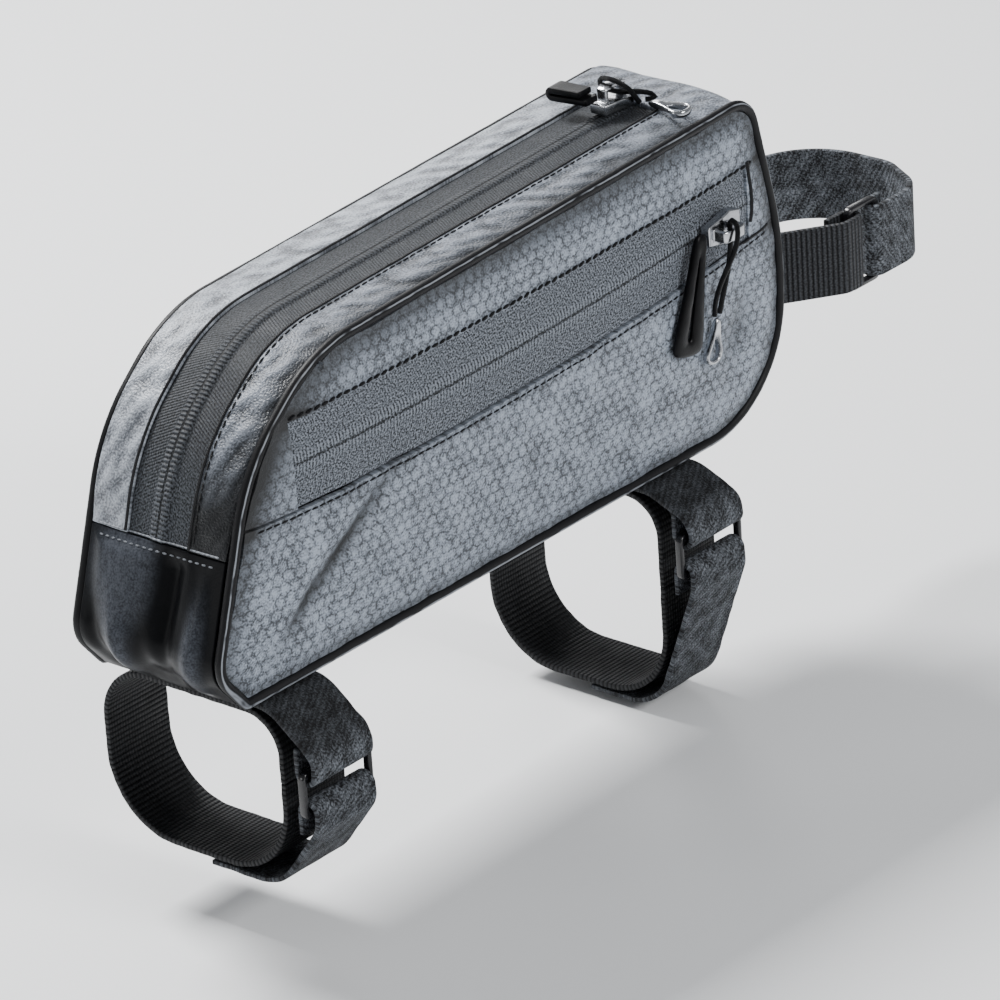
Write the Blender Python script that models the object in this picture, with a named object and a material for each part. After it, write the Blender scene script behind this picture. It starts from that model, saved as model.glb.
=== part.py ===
"""Top tube bag: a hollow cloth bag with two zips, two tube straps and a strap for the steerer.

Frame: +X forward, +Y to the rider's left, +Z up. The origin is on the underside of the base,
midway between the two tube straps, where the bag sits on a bicycle's top tube.
Lengths are in metres.
"""
import math
from collections import namedtuple

import bmesh
import bpy
from mathutils import Vector

MM = 0.001

# Driving sizes of the bag
BAG_LENGTH = 207.6 * MM
BAG_HEIGHT = 83.5 * MM
BAG_WIDTH = 45.0 * MM
CLOTH = 1.5 * MM
SEAM_GAP = 0.3 * MM
PIPING_RADIUS = 1.3 * MM
SIDE_CROWN = 2.6 * MM
GUSSET_CROWN = 1.0 * MM

# Zips: widths of the tapes, the coil's ridge and the recess of the tape
MAIN_ZIP_WIDTH = 18.0 * MM
TAPE = 1.2 * MM
TAPE_RECESS = 0.4 * MM
COIL_WIDTH = 5.6 * MM
COIL_HEIGHT = 0.8 * MM

# Straps of webbing, their rings, and the room for the tube
STRAP_WIDTH = 20.0 * MM
STRAP = 1.5 * MM
TUBE_HALF_WIDTH = 26.2 * MM
REAR_TUBE_DEPTH = 41.0 * MM
FRONT_TUBE_DEPTH = 53.5 * MM
REAR_RING_DROP = 20.0 * MM
FRONT_RING_DROP = 15.6 * MM
RING_STAND_OFF = 7.0 * MM
RING_BAR = 2.0 * MM
RING_SIDE = 1.4 * MM
RING_GAP = 3.2 * MM
HEM = 6.0 * MM

# The strap that goes round the steerer
STEERER_STRAP_WIDTH = 18.5 * MM
STEERER_RADIUS = 18.3 * MM
STEERER_REACH = 39.0 * MM
STEERER_STRAP_HEIGHT = 31.0 * MM

# Sliders, and the cords, ends and pulls that hang from them
SLIDER_LENGTH = 12.0 * MM
SLIDER_WIDTH = 8.6 * MM
SLIDER_THICK = 2.6 * MM
BRIDGE_ROOM = 2.6 * MM
BRIDGE_THICK = 1.2 * MM
BRIDGE_WIDTH = 2.8 * MM
CORD_DIAMETER = 1.3 * MM
CORD_REACH = 21.0 * MM
END_LENGTH = 12.5 * MM
END_WIDTH = 6.4 * MM
END_THICK = 2.0 * MM
PULL_LENGTH = 31.0 * MM
PULL_WIDTH = 11.5 * MM
PULL_THICK = 2.2 * MM
PULL_LEAN = 12.0
FOLDED_PULL_REACH = 11.0 * MM
FOLD_RADIUS = 2.5 * MM
FOLD_RISE = 5.2 * MM
POCKET_END_BACK = 3.35 * MM
POCKET_END_LEAN = 8.0
MAIN_END_AHEAD = 4.05 * MM
MAIN_CORD_REACH = 7.0 * MM

# Corners of the side outline, from the heel up the rear, over the top and down the front.
# x and z are shares of length and height, radius is a share of height, arc and run are pieces.
Corner = namedtuple("Corner", "x z radius arc run")
RIM_CORNERS = (
    Corner(0.042, 0.000, 0.030, 3, 2),
    Corner(0.000, 0.126, 0.108, 5, 4),
    Corner(0.071, 0.670, 0.540, 5, 1),
    Corner(0.187, 0.910, 0.480, 5, 9),
    Corner(0.955, 1.000, 0.108, 5, 2),
    Corner(1.000, 0.540, 1.000, 4, 1),
    Corner(0.994, 0.000, 0.360, 8, 7),
)
HEEL, REAR, LOW_SHOULDER, SHOULDER, FRONT_TOP, FRONT, TOE = range(len(RIM_CORNERS))

# Where seams and zips lie, as shares of length (x) or height (z)
NOSE_SEAM_Z = 0.43
ZIP_FRONT_X = 0.863
SEAM_REAR_Z = 0.515
SEAM_FRONT_Z = 0.597
SEAM_SAG_Z = 0.050
STITCH_REAR_Z = 0.752
STITCH_FRONT_Z = 0.800
STITCH_SAG_Z = 0.018
POCKET_REAR_X = 0.137
POCKET_FRONT_X = 0.932
POCKET_SLIDER_X = 0.864
MAIN_SLIDER_X = 0.838

# Strap positions along the bag, as shares of its length
REAR_STRAP_X = 0.112
FRONT_STRAP_X = 0.768

# Folds pressed into the side cloth: place as shares of length and height, the way they run
# in degrees, length and width as shares of length and height, depth as a share of the crown
Fold = namedtuple("Fold", "x z turn length width depth")
SIDE_FOLDS = (
    Fold(0.21, 0.33, 36, 0.15, 0.050, -0.42),
    Fold(0.16, 0.37, 40, 0.12, 0.045, 0.30),
    Fold(0.28, 0.28, 30, 0.13, 0.070, 0.28),
    Fold(0.12, 0.20, 62, 0.10, 0.050, -0.30),
    Fold(0.47, 0.30, 80, 0.11, 0.080, -0.16),
    Fold(0.70, 0.26, 100, 0.11, 0.080, -0.14),
    Fold(0.90, 0.33, 60, 0.10, 0.060, -0.22),
)

# Folds of the nose patch: place across (share of half width) and up (share of its height),
# lean in degrees, length and width as shares of its height, depth as a share of the crown
NOSE_FOLDS = (
    Fold(-0.15, 0.55, 84, 0.55, 0.13, -1.3),
    Fold(0.28, 0.50, 98, 0.50, 0.12, 1.0),
    Fold(0.62, 0.40, 76, 0.45, 0.12, -1.0),
    Fold(-0.58, 0.45, 100, 0.45, 0.12, 0.9),
    Fold(-0.35, 0.20, 60, 0.35, 0.10, -0.7),
    Fold(0.05, 0.22, 120, 0.35, 0.10, 0.6),
)

# Sizes that follow from the driving ones
HALF_WIDTH = BAG_WIDTH / 2
PIPING_INSET = 0.65 * CLOTH
EDGE_INSET = PIPING_INSET + PIPING_RADIUS + SEAM_GAP
GUSSET_EDGE = HALF_WIDTH - EDGE_INSET
BAG_REAR_X = -(REAR_STRAP_X + FRONT_STRAP_X) / 2 * BAG_LENGTH
HEEL_X = BAG_REAR_X + RIM_CORNERS[HEEL].x * BAG_LENGTH
WRAP = RING_BAR * math.sqrt(0.5) + SEAM_GAP + STRAP / 2
RING_SPAN = 2 * (WRAP + STRAP / 2) + RING_GAP
FLAP_Z = PIPING_INSET - PIPING_RADIUS - SEAM_GAP - STRAP / 2
LOOP_Z = FLAP_Z - STRAP - SEAM_GAP


def clear_scene():
    """Remove what the scene starts with."""
    for item in list(bpy.data.objects):
        bpy.data.objects.remove(item, do_unlink=True)


def material(name, colour, roughness, metallic=0.0):
    """A plain Principled material of one colour."""
    made = bpy.data.materials.get(name)
    if made is None:
        made = bpy.data.materials.new(name)
        made.use_nodes = True
        shader = made.node_tree.nodes["Principled BSDF"]
        shader.inputs["Base Color"].default_value = (*colour, 1.0)
        shader.inputs["Roughness"].default_value = roughness
        shader.inputs["Metallic"].default_value = metallic
    return made


def side_cloth():
    return material("side_cloth", (0.085, 0.088, 0.098), 0.62)


def gusset_cloth():
    return material("gusset_cloth", (0.150, 0.152, 0.170), 0.42)


def coated_cloth():
    return material("coated_cloth", (0.012, 0.012, 0.015), 0.22)


def zip_tape():
    return material("zip_tape", (0.055, 0.056, 0.060), 0.70)


def piping_cloth():
    return material("piping_cloth", (0.060, 0.060, 0.065), 0.40)


def webbing():
    return material("webbing", (0.020, 0.020, 0.023), 0.75)


def hook_and_loop():
    return material("hook_and_loop", (0.030, 0.030, 0.034), 0.90)


def black_plastic():
    return material("black_plastic", (0.012, 0.012, 0.013), 0.35)


def black_rubber():
    return material("black_rubber", (0.010, 0.010, 0.011), 0.45)


def bright_metal():
    return material("bright_metal", (0.720, 0.720, 0.730), 0.22, 1.0)


def black_cord():
    return material("black_cord", (0.015, 0.015, 0.016), 0.70)


def new_object(name, bm, finish, smooth_angle=38.0):
    """Turn a bmesh into an object whose faces point outwards."""
    bmesh.ops.recalc_face_normals(bm, faces=bm.faces)
    mesh = bpy.data.meshes.new(name)
    bm.to_mesh(mesh)
    bm.free()
    mesh.shade_smooth()
    mesh.set_sharp_from_angle(angle=math.radians(smooth_angle))
    mesh.materials.append(finish)
    made = bpy.data.objects.new(name, mesh)
    bpy.context.scene.collection.objects.link(made)
    return made


def lerp(a, b, share):
    return a + (b - a) * share


def smooth_step(value):
    """Ease from 0 to 1 over the range 0 to 1."""
    value = min(max(value, 0.0), 1.0)
    return value * value * (3 - 2 * value)


def fillet(before, corner, after, radius, pieces):
    """Points of an arc that rounds a corner between two straight runs."""
    back = (before - corner).normalized()
    ahead = (after - corner).normalized()
    half = back.angle(ahead) / 2
    if radius <= 0 or abs(math.pi / 2 - half) < 1e-4:
        return [corner.copy()]
    centre = corner + (back + ahead).normalized() * (radius / math.sin(half))
    first = corner + back * (radius / math.tan(half)) - centre
    last = corner + ahead * (radius / math.tan(half)) - centre
    sweep = first.angle(last)
    points = []
    for step in range(pieces + 1):
        share = step / pieces
        a = math.sin((1 - share) * sweep) / math.sin(sweep)
        b = math.sin(share * sweep) / math.sin(sweep)
        points.append(centre + first * a + last * b)
    return points


def filleted_path(rows, pieces_per_turn=12):
    """An open path through rows of (u, v, radius), with its corners rounded."""
    knots = [Vector((u, v)) for u, v, _ in rows]
    path = [knots[0]]
    for place in range(1, len(rows) - 1):
        before, corner, after = knots[place - 1:place + 2]
        turn = math.pi - (before - corner).angle(after - corner)
        pieces = max(2, round(pieces_per_turn * turn / math.pi))
        path += fillet(before, corner, after, rows[place][2], pieces)
    return path + [knots[-1]]


def inset_corners(inset):
    """The rim's corners moved inwards, with their radii made smaller by as much."""
    knots = [Vector((HEEL_X + (c.x - RIM_CORNERS[HEEL].x) * BAG_LENGTH, c.z * BAG_HEIGHT))
             for c in RIM_CORNERS]
    count = len(knots)
    moved = []
    for place, knot in enumerate(knots):
        came = (knot - knots[place - 1]).normalized()
        goes = (knots[(place + 1) % count] - knot).normalized()
        inward_a = Vector((came.y, -came.x))
        inward_b = Vector((goes.y, -goes.x))
        middle = (inward_a + inward_b).normalized()
        moved.append(knot + middle * (inset / middle.dot(inward_a)))
    radii = [max(c.radius * BAG_HEIGHT - inset, 0.3 * MM) for c in RIM_CORNERS]
    return moved, radii


def rim_points(inset):
    """The closed side outline at one inset, with the index where each corner starts and ends."""
    knots, radii = inset_corners(inset)
    count = len(knots)
    arcs = [fillet(knots[k - 1], knots[k], knots[(k + 1) % count], radii[k], RIM_CORNERS[k].arc)
            for k in range(count)]
    points, starts, ends = [], [], []
    for place, arc in enumerate(arcs):
        starts.append(len(points))
        points += arc
        ends.append(len(points) - 1)
        following = arcs[(place + 1) % count][0]
        run = RIM_CORNERS[place].run
        points += [arc[-1].lerp(following, step / run) for step in range(1, run)]
    return points, starts, ends


OUTER_RIM, CORNER_STARTS, CORNER_ENDS = rim_points(0.0)
RIM_CACHE = {0.0: OUTER_RIM}
RIM_S = [0.0]
for place in range(len(OUTER_RIM)):
    gone = (OUTER_RIM[(place + 1) % len(OUTER_RIM)] - OUTER_RIM[place]).length
    RIM_S.append(RIM_S[-1] + gone)
RIM_TOTAL = RIM_S[-1]


def rim_at(s, inset=0.0):
    """The rim's point at a distance along the outer outline, at any inset."""
    if inset not in RIM_CACHE:
        RIM_CACHE[inset] = rim_points(inset)[0]
    points = RIM_CACHE[inset]
    s = s % RIM_TOTAL
    place = max(k for k in range(len(points)) if RIM_S[k] <= s + 1e-12)
    share = (s - RIM_S[place]) / (RIM_S[place + 1] - RIM_S[place])
    return points[place].lerp(points[(place + 1) % len(points)], share)


def rim_out(s):
    """The outward direction of the rim, in its own plane."""
    step = 0.5 * MM
    along = (rim_at(s + step) - rim_at(s - step)).normalized()
    return Vector((-along.y, along.x))


def rim_stations(first, last, shortest=2.0 * MM):
    """Distances of the rim's own points between two places, with both ends."""
    if last < first:
        last += RIM_TOTAL
    inside = [s + turn for turn in (0.0, RIM_TOTAL) for s in RIM_S[:-1]
              if first + shortest < s + turn < last - shortest]
    return [first] + inside + [last]


def rim_crossing(test, first, last):
    """The distance between two places where a test on the rim's point turns true."""
    for _ in range(40):
        middle = (first + last) / 2
        if test(rim_at(middle)):
            last = middle
        else:
            first = middle
    return last


S_HEEL_START = RIM_S[CORNER_STARTS[HEEL]]
S_HEEL = RIM_S[CORNER_ENDS[HEEL]]
S_SHOULDER = RIM_S[CORNER_ENDS[SHOULDER]]
S_FRONT_TOP = (RIM_S[CORNER_STARTS[FRONT_TOP]] + RIM_S[CORNER_ENDS[FRONT_TOP]]) / 2
S_TOE_END = RIM_S[CORNER_ENDS[TOE]]
S_TOE_MIDDLE = (RIM_S[CORNER_STARTS[TOE]] + RIM_S[CORNER_ENDS[TOE]]) / 2
S_NOSE_SEAM = rim_crossing(lambda p: p.y > NOSE_SEAM_Z * BAG_HEIGHT, S_HEEL, S_SHOULDER)
S_ZIP_FRONT = rim_crossing(lambda p: p.x > BAG_REAR_X + ZIP_FRONT_X * BAG_LENGTH,
                           S_SHOULDER, S_FRONT_TOP)


def along(share):
    """X of a share of the bag's length."""
    return BAG_REAR_X + share * BAG_LENGTH


def sagging(x, rear_share, front_share, sag_share):
    """Height of a sagging seam line at x."""
    t = (x - BAG_REAR_X) / BAG_LENGTH
    return (lerp(rear_share, front_share, t) - sag_share * 4 * t * (1 - t)) * BAG_HEIGHT


def seam_z(x):
    return sagging(x, SEAM_REAR_Z, SEAM_FRONT_Z, SEAM_SAG_Z)


def stitch_z(x):
    return sagging(x, STITCH_REAR_Z, STITCH_FRONT_Z, STITCH_SAG_Z)


def fold_height(folds, x, z, length, height):
    """Sum of soft ridges and valleys at one place of a cloth."""
    total = 0.0
    for row in folds:
        turn = math.radians(row.turn)
        dx = x - row.x * length
        dz = z - row.z * height
        run = dx * math.cos(turn) + dz * math.sin(turn)
        off = -dx * math.sin(turn) + dz * math.cos(turn)
        total += row.depth * math.exp(-(off / (row.width * height)) ** 2
                                      - (run / (0.5 * row.length * length)) ** 2)
    return total


def side_crown(x, z):
    """How far the side cloth stands out of its plane: a soft crown with folds."""
    u = min(max((x - BAG_REAR_X) / BAG_LENGTH, 0.0), 1.0)
    top = lerp(RIM_CORNERS[SHOULDER].z, RIM_CORNERS[FRONT_TOP].z, u) * BAG_HEIGHT
    v = min(max(z / top, 0.0), 1.0)
    dome = (1 - abs(2 * u - 1) ** 3.0) * (1 - abs(2 * v - 1) ** 2.4)
    creases = fold_height(SIDE_FOLDS, x - BAG_REAR_X, z, BAG_LENGTH, BAG_HEIGHT)
    return SIDE_CROWN * (dome + creases * min(1.0, 3 * dome))


def gusset_crown(s, y):
    """How far the gusset stands out of the rim: most at the middle, none on the base."""
    up = smooth_step(rim_at(s).y / (0.18 * BAG_HEIGHT))
    return GUSSET_CROWN * up * (1 - (y / HALF_WIDTH) ** 2)


def shell(name, outer, inner, finish, keep=None):
    """A closed cloth wall between two grids of points; keep says which cells stay."""
    rows, columns = len(outer), len(outer[0])
    bm = bmesh.new()
    verts = {}

    def corner(layer, i, j):
        key = (layer, i, j)
        if key not in verts:
            verts[key] = bm.verts.new((outer, inner)[layer][i][j])
        return verts[key]

    edges = {}
    for i in range(rows - 1):
        for j in range(columns - 1):
            if keep and not keep(i, j):
                continue
            ring = [(i, j), (i + 1, j), (i + 1, j + 1), (i, j + 1)]
            bm.faces.new([corner(0, *p) for p in ring])
            bm.faces.new([corner(1, *p) for p in reversed(ring)])
            for a, b in zip(ring, ring[1:] + ring[:1]):
                edges[(a, b)] = edges.get((a, b), 0) + 1
    for a, b in edges:
        if (b, a) not in edges:
            bm.faces.new([corner(0, *b), corner(0, *a), corner(1, *a), corner(1, *b)])
    return new_object(name, bm, finish)


def strip(name, first, last, y_low, y_high, finish, across=2, wall=CLOTH, sunk=0.0, relief=None):
    """A band of cloth that follows the rim between two places, from y_low to y_high."""
    stations = rim_stations(first, last)
    if isinstance(across, int):
        across = [step / across for step in range(across + 1)]
    layers = []
    for inset in (sunk, sunk + wall):
        grid = []
        for s in stations:
            base = rim_at(s, inset)
            out = rim_out(s)
            row = []
            for share in across:
                y = lerp(y_low, y_high, share)
                rise = gusset_crown(s, y)
                if relief:
                    rise += relief(s, y, inset == sunk)
                point = base + out * rise
                row.append((point.x, y, point.y))
            grid.append(row)
        layers.append(grid)
    return shell(name, layers[0], layers[1], finish)


def spread(points, pieces):
    """Read a polyline at equal steps along its length."""
    gone = [0.0]
    for a, b in zip(points, points[1:]):
        gone.append(gone[-1] + (b - a).length)
    read = []
    place = 0
    for step in range(pieces + 1):
        wanted = gone[-1] * step / pieces
        while place < len(points) - 2 and gone[place + 1] < wanted:
            place += 1
        share = (wanted - gone[place]) / (gone[place + 1] - gone[place])
        read.append(points[place].lerp(points[place + 1], share))
    return read


def rim_span(first, last, pieces):
    """The panel's edge along the rim, at equal steps; it may run backwards."""
    low, high = min(first, last), max(first, last)
    points = [rim_at(s, EDGE_INSET) for s in rim_stations(low, high, 0.2 * MM)]
    if last < first:
        points.reverse()
    return spread(points, pieces)


def coons(bottom, top, rear, front, columns=None):
    """A grid of points between four edges that share their corners; columns are shares."""
    grid = []
    for j in range(len(rear)):
        v = j / (len(rear) - 1)
        row = []
        for i in range(len(bottom)):
            u = columns[i] if columns else i / (len(bottom) - 1)
            ruled = bottom[i].lerp(top[i], v) + rear[j].lerp(front[j], u)
            corners = bottom[0].lerp(bottom[-1], u).lerp(top[0].lerp(top[-1], u), v)
            row.append(ruled - corners)
        grid.append(row)
    return grid


def side_shell(name, grid, side, keep=None):
    """A side panel's wall from a grid of (x, z) points; side is -1 on the right, 1 on the left."""
    outer, inner = [], []
    for row in grid:
        rise = [side_crown(p.x, p.y) for p in row]
        outer.append([(p.x, side * (HALF_WIDTH + r), p.y) for p, r in zip(row, rise)])
        inner.append([(p.x, side * (HALF_WIDTH + r - CLOTH), p.y) for p, r in zip(row, rise)])
    return shell(name, outer, inner, side_cloth(), keep)


def line_crossings(height):
    """The rim's distances where a seam line meets it, at the rear and at the front."""
    rear = rim_crossing(lambda p: p.y > height(p.x), S_HEEL, S_SHOULDER)
    front = rim_crossing(lambda p: p.y < height(p.x), S_FRONT_TOP, S_TOE_MIDDLE)
    return rear, front


def line_points(height, marks):
    """Points of a seam line at each x of a list."""
    return [Vector((x, height(x))) for x in marks]


def side_panel_left():
    """The whole left side: one cloth."""
    pieces_x, pieces_z = 18, 7
    heel = (S_HEEL_START + S_HEEL) / 2
    shoulder = (RIM_S[CORNER_STARTS[SHOULDER]] + S_SHOULDER) / 2
    bottom = rim_span(S_TOE_MIDDLE, RIM_TOTAL + heel, pieces_x)
    bottom.reverse()
    top = rim_span(shoulder, S_FRONT_TOP, pieces_x)
    rear = rim_span(heel, shoulder, pieces_z)
    front = rim_span(S_TOE_MIDDLE, S_FRONT_TOP, pieces_z)
    side_shell("side_panel_left", coons(bottom, top, rear, front), 1)


def side_panel_right_lower():
    """The right side below the long seam."""
    pieces_x, pieces_z = 24, 8
    heel = (S_HEEL_START + S_HEEL) / 2
    rear_s, front_s = line_crossings(lambda x: seam_z(x) - SEAM_GAP)
    bottom = rim_span(S_TOE_MIDDLE, RIM_TOTAL + heel, pieces_x)
    bottom.reverse()
    rear = rim_span(heel, rear_s, pieces_z)
    front = rim_span(S_TOE_MIDDLE, front_s, pieces_z)
    marks = [lerp(rear[-1].x, front[-1].x, step / pieces_x) for step in range(pieces_x + 1)]
    top = line_points(lambda x: seam_z(x) - SEAM_GAP, marks)
    top[0], top[-1] = rear[-1], front[-1]
    side_shell("side_panel_right_lower", coons(bottom, top, rear, front), -1)


def side_panel_right_upper():
    """The right side above the seam, with a window for the pocket zip."""
    window_pieces, end_pieces, rows_band, rows_top = 14, 2, 3, 3
    rear_s, front_s = line_crossings(seam_z)
    rear_t, front_t = line_crossings(stitch_z)
    shoulder = (RIM_S[CORNER_STARTS[SHOULDER]] + S_SHOULDER) / 2

    def marks(first, last):
        rear_x, front_x = along(POCKET_REAR_X), along(POCKET_FRONT_X)
        xs = [lerp(first, rear_x, step / end_pieces) for step in range(end_pieces)]
        xs += [lerp(rear_x, front_x, step / window_pieces) for step in range(window_pieces)]
        return xs + [lerp(front_x, last, step / end_pieces) for step in range(end_pieces + 1)]

    band_rear = rim_span(rear_s, rear_t, rows_band)
    band_front = rim_span(front_s, front_t, rows_band)
    seam = line_points(seam_z, marks(band_rear[0].x, band_front[0].x))
    stitch = line_points(stitch_z, marks(band_rear[-1].x, band_front[-1].x))
    for line, place in ((seam, 0), (stitch, -1)):
        line[0], line[-1] = band_rear[place], band_front[place]
    band = [[a.lerp(b, j / rows_band) for a, b in zip(seam, stitch)] for j in range(rows_band + 1)]
    for j, row in enumerate(band):
        row[0], row[-1] = band_rear[j], band_front[j]

    columns = [(p.x - stitch[0].x) / (stitch[-1].x - stitch[0].x) for p in stitch]
    edge = rim_span(shoulder, S_FRONT_TOP, 60)
    top = []
    for u in columns:
        wanted = lerp(0, len(edge) - 1, u)
        place = min(int(wanted), len(edge) - 2)
        top.append(edge[place].lerp(edge[place + 1], wanted - place))
    upper = coons(stitch, top, rim_span(rear_t, shoulder, rows_top),
                  rim_span(front_t, S_FRONT_TOP, rows_top), columns)
    window = range(end_pieces, end_pieces + window_pieces)
    side_shell("side_panel_right_upper", band + upper[1:], -1,
               lambda i, j: not (i < rows_band and j in window))


def pocket_zip():
    """The zip tape that fills the window, with the ridge of its coil."""
    pieces = 14
    half_coil = COIL_WIDTH / 2
    outer, inner = [], []
    for step in range(pieces + 1):
        x = lerp(along(POCKET_REAR_X) + SEAM_GAP, along(POCKET_FRONT_X) - SEAM_GAP, step / pieces)
        low, high = seam_z(x) + SEAM_GAP, stitch_z(x) - SEAM_GAP
        middle = (low + high) / 2
        levels = [(low, 0.0), (middle - half_coil, 0.0), (middle - 0.7 * half_coil, COIL_HEIGHT),
                  (middle + 0.7 * half_coil, COIL_HEIGHT), (middle + half_coil, 0.0), (high, 0.0)]
        outer.append([(x, -(HALF_WIDTH + side_crown(x, z) - TAPE_RECESS + rise), z)
                      for z, rise in levels])
        inner.append([(x, -(HALF_WIDTH + side_crown(x, z) - TAPE_RECESS - TAPE), z)
                      for z, _ in levels])
    shell("pocket_zip", outer, inner, zip_tape())


def main_zip():
    """The zip that runs up the rear and along the top, with the ridge of its coil."""
    half = MAIN_ZIP_WIDTH / 2
    half_coil = COIL_WIDTH / 2
    marks = [-half, -half_coil, -0.7 * half_coil, 0.7 * half_coil, half_coil, half]
    across = [(mark + half) / MAIN_ZIP_WIDTH for mark in marks]

    def relief(s, y, is_outer):
        return COIL_HEIGHT if is_outer and abs(y) < 0.8 * half_coil else 0.0

    strip("main_zip", S_NOSE_SEAM + SEAM_GAP, S_ZIP_FRONT - SEAM_GAP, -half, half, zip_tape(),
          across, TAPE, TAPE_RECESS, relief)


def nose_panel():
    """The coated patch at the rear below the double seam, with its folds."""
    height = S_NOSE_SEAM - S_HEEL

    def relief(s, y, is_outer):
        up = (s - S_HEEL) / height
        across = y / GUSSET_EDGE
        edge = (1 - across ** 4) * 4 * up * (1 - up)
        return GUSSET_CROWN * min(1.0, 1.6 * edge) * fold_height(NOSE_FOLDS, across, up, 1.0, 1.0)

    strip("nose_panel", S_HEEL + SEAM_GAP, S_NOSE_SEAM - SEAM_GAP, -GUSSET_EDGE, GUSSET_EDGE,
          coated_cloth(), 12, relief=relief)


def gussets():
    """The cloth strips beside the main zip, the front panel and the base."""
    inner_edge = MAIN_ZIP_WIDTH / 2 + SEAM_GAP
    for name, low, high in (("gusset_right", -GUSSET_EDGE, -inner_edge),
                            ("gusset_left", inner_edge, GUSSET_EDGE)):
        strip(name, S_NOSE_SEAM + SEAM_GAP, S_ZIP_FRONT - SEAM_GAP, low, high, gusset_cloth())
    strip("front_panel", S_ZIP_FRONT + SEAM_GAP, S_TOE_END - SEAM_GAP, -GUSSET_EDGE, GUSSET_EDGE,
          gusset_cloth(), 4)
    strip("base_panel", S_TOE_END + SEAM_GAP, RIM_TOTAL + S_HEEL_START - SEAM_GAP,
          -GUSSET_EDGE, GUSSET_EDGE, coated_cloth(), 1)


def piping(name, side):
    """The piping along the whole edge of a side panel."""
    sides = 6
    centre_y = side * (HALF_WIDTH - PIPING_INSET)
    bm = bmesh.new()
    rings = []
    for s in RIM_S[:-1]:
        middle = rim_at(s, PIPING_INSET)
        out = rim_out(s)
        ring = []
        for step in range(sides):
            turn = 2 * math.pi * step / sides
            point = middle + out * (PIPING_RADIUS * math.cos(turn))
            y = centre_y + PIPING_RADIUS * math.sin(turn)
            ring.append(bm.verts.new((point.x, y, point.y)))
        rings.append(ring)
    for a, b in zip(rings, rings[1:] + rings[:1]):
        for step in range(sides):
            after = (step + 1) % sides
            bm.faces.new([a[step], a[after], b[after], b[step]])
    new_object(name, bm, piping_cloth())


def ribbon(name, path, low, high, finish, to_world, closed=False, thick=STRAP):
    """A flat strap of one thickness along a path, as wide as low to high across the path."""
    bm = bmesh.new()
    sections = []
    count = len(path)
    for place, point in enumerate(path):
        before = path[place - 1] if closed or place else point
        after = path[(place + 1) % count] if closed or place < count - 1 else point
        came = (point - before).normalized() if point != before else (after - point).normalized()
        goes = (after - point).normalized() if after != point else came
        normal_a, normal_b = Vector((-came.y, came.x)), Vector((-goes.y, goes.x))
        middle = (normal_a + normal_b).normalized()
        offset = middle * (thick / 2 / max(middle.dot(normal_a), 0.7))
        ring = [(point + offset, low), (point + offset, high),
                (point - offset, high), (point - offset, low)]
        sections.append([bm.verts.new(to_world(p.x, p.y, w)) for p, w in ring])
    pairs = list(zip(sections, sections[1:]))
    if closed:
        pairs.append((sections[-1], sections[0]))
    for a, b in pairs:
        for step in range(4):
            after = (step + 1) % 4
            bm.faces.new([a[step], a[after], b[after], b[step]])
    if not closed:
        bm.faces.new(sections[0])
        bm.faces.new(list(reversed(sections[-1])))
    return new_object(name, bm, finish)


def pierced_plate(name, outer, inner, thick, finish, to_world):
    """A flat plate with one hole: both outlines have as many points, in the same order."""
    bm = bmesh.new()
    layers = []
    for level in (0.0, thick):
        layers.append([[bm.verts.new(to_world(u, v, level)) for u, v in loop]
                       for loop in (outer, inner)])
    count = len(outer)
    for k in range(count):
        n = (k + 1) % count
        (low_out, low_in), (high_out, high_in) = layers
        bm.faces.new([low_out[k], low_out[n], low_in[n], low_in[k]])
        bm.faces.new([high_out[n], high_out[k], high_in[k], high_in[n]])
        bm.faces.new([low_out[n], low_out[k], high_out[k], high_out[n]])
        bm.faces.new([low_in[k], low_in[n], high_in[n], high_in[k]])
    return new_object(name, bm, finish)


def rounded_box(half_u, half_v, radius, pieces=3):
    """Points of a rectangle with round corners, in order."""
    points = []
    for turn, (sign_u, sign_v) in enumerate(((1, 1), (-1, 1), (-1, -1), (1, -1))):
        for step in range(pieces + 1):
            angle = math.radians(90 * (turn + step / pieces))
            points.append((sign_u * (half_u - radius) + radius * math.cos(angle),
                           sign_v * (half_v - radius) + radius * math.sin(angle)))
    return points


def ring_plate(name, strap_width, to_world):
    """A ring for a strap: u runs across the strap, v along it, and the plate is centred."""
    slot_u = strap_width / 2 + SEAM_GAP
    slot_v = RING_SPAN / 2 - RING_BAR / 2
    outer = rounded_box(slot_u + RING_SIDE, slot_v + RING_BAR, 1.6 * MM)
    inner = rounded_box(slot_u, slot_v, 0.5 * MM)
    pierced_plate(name, outer, inner, RING_BAR, black_plastic(),
                  lambda u, v, w: to_world(u, v, w - RING_BAR / 2))


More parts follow.
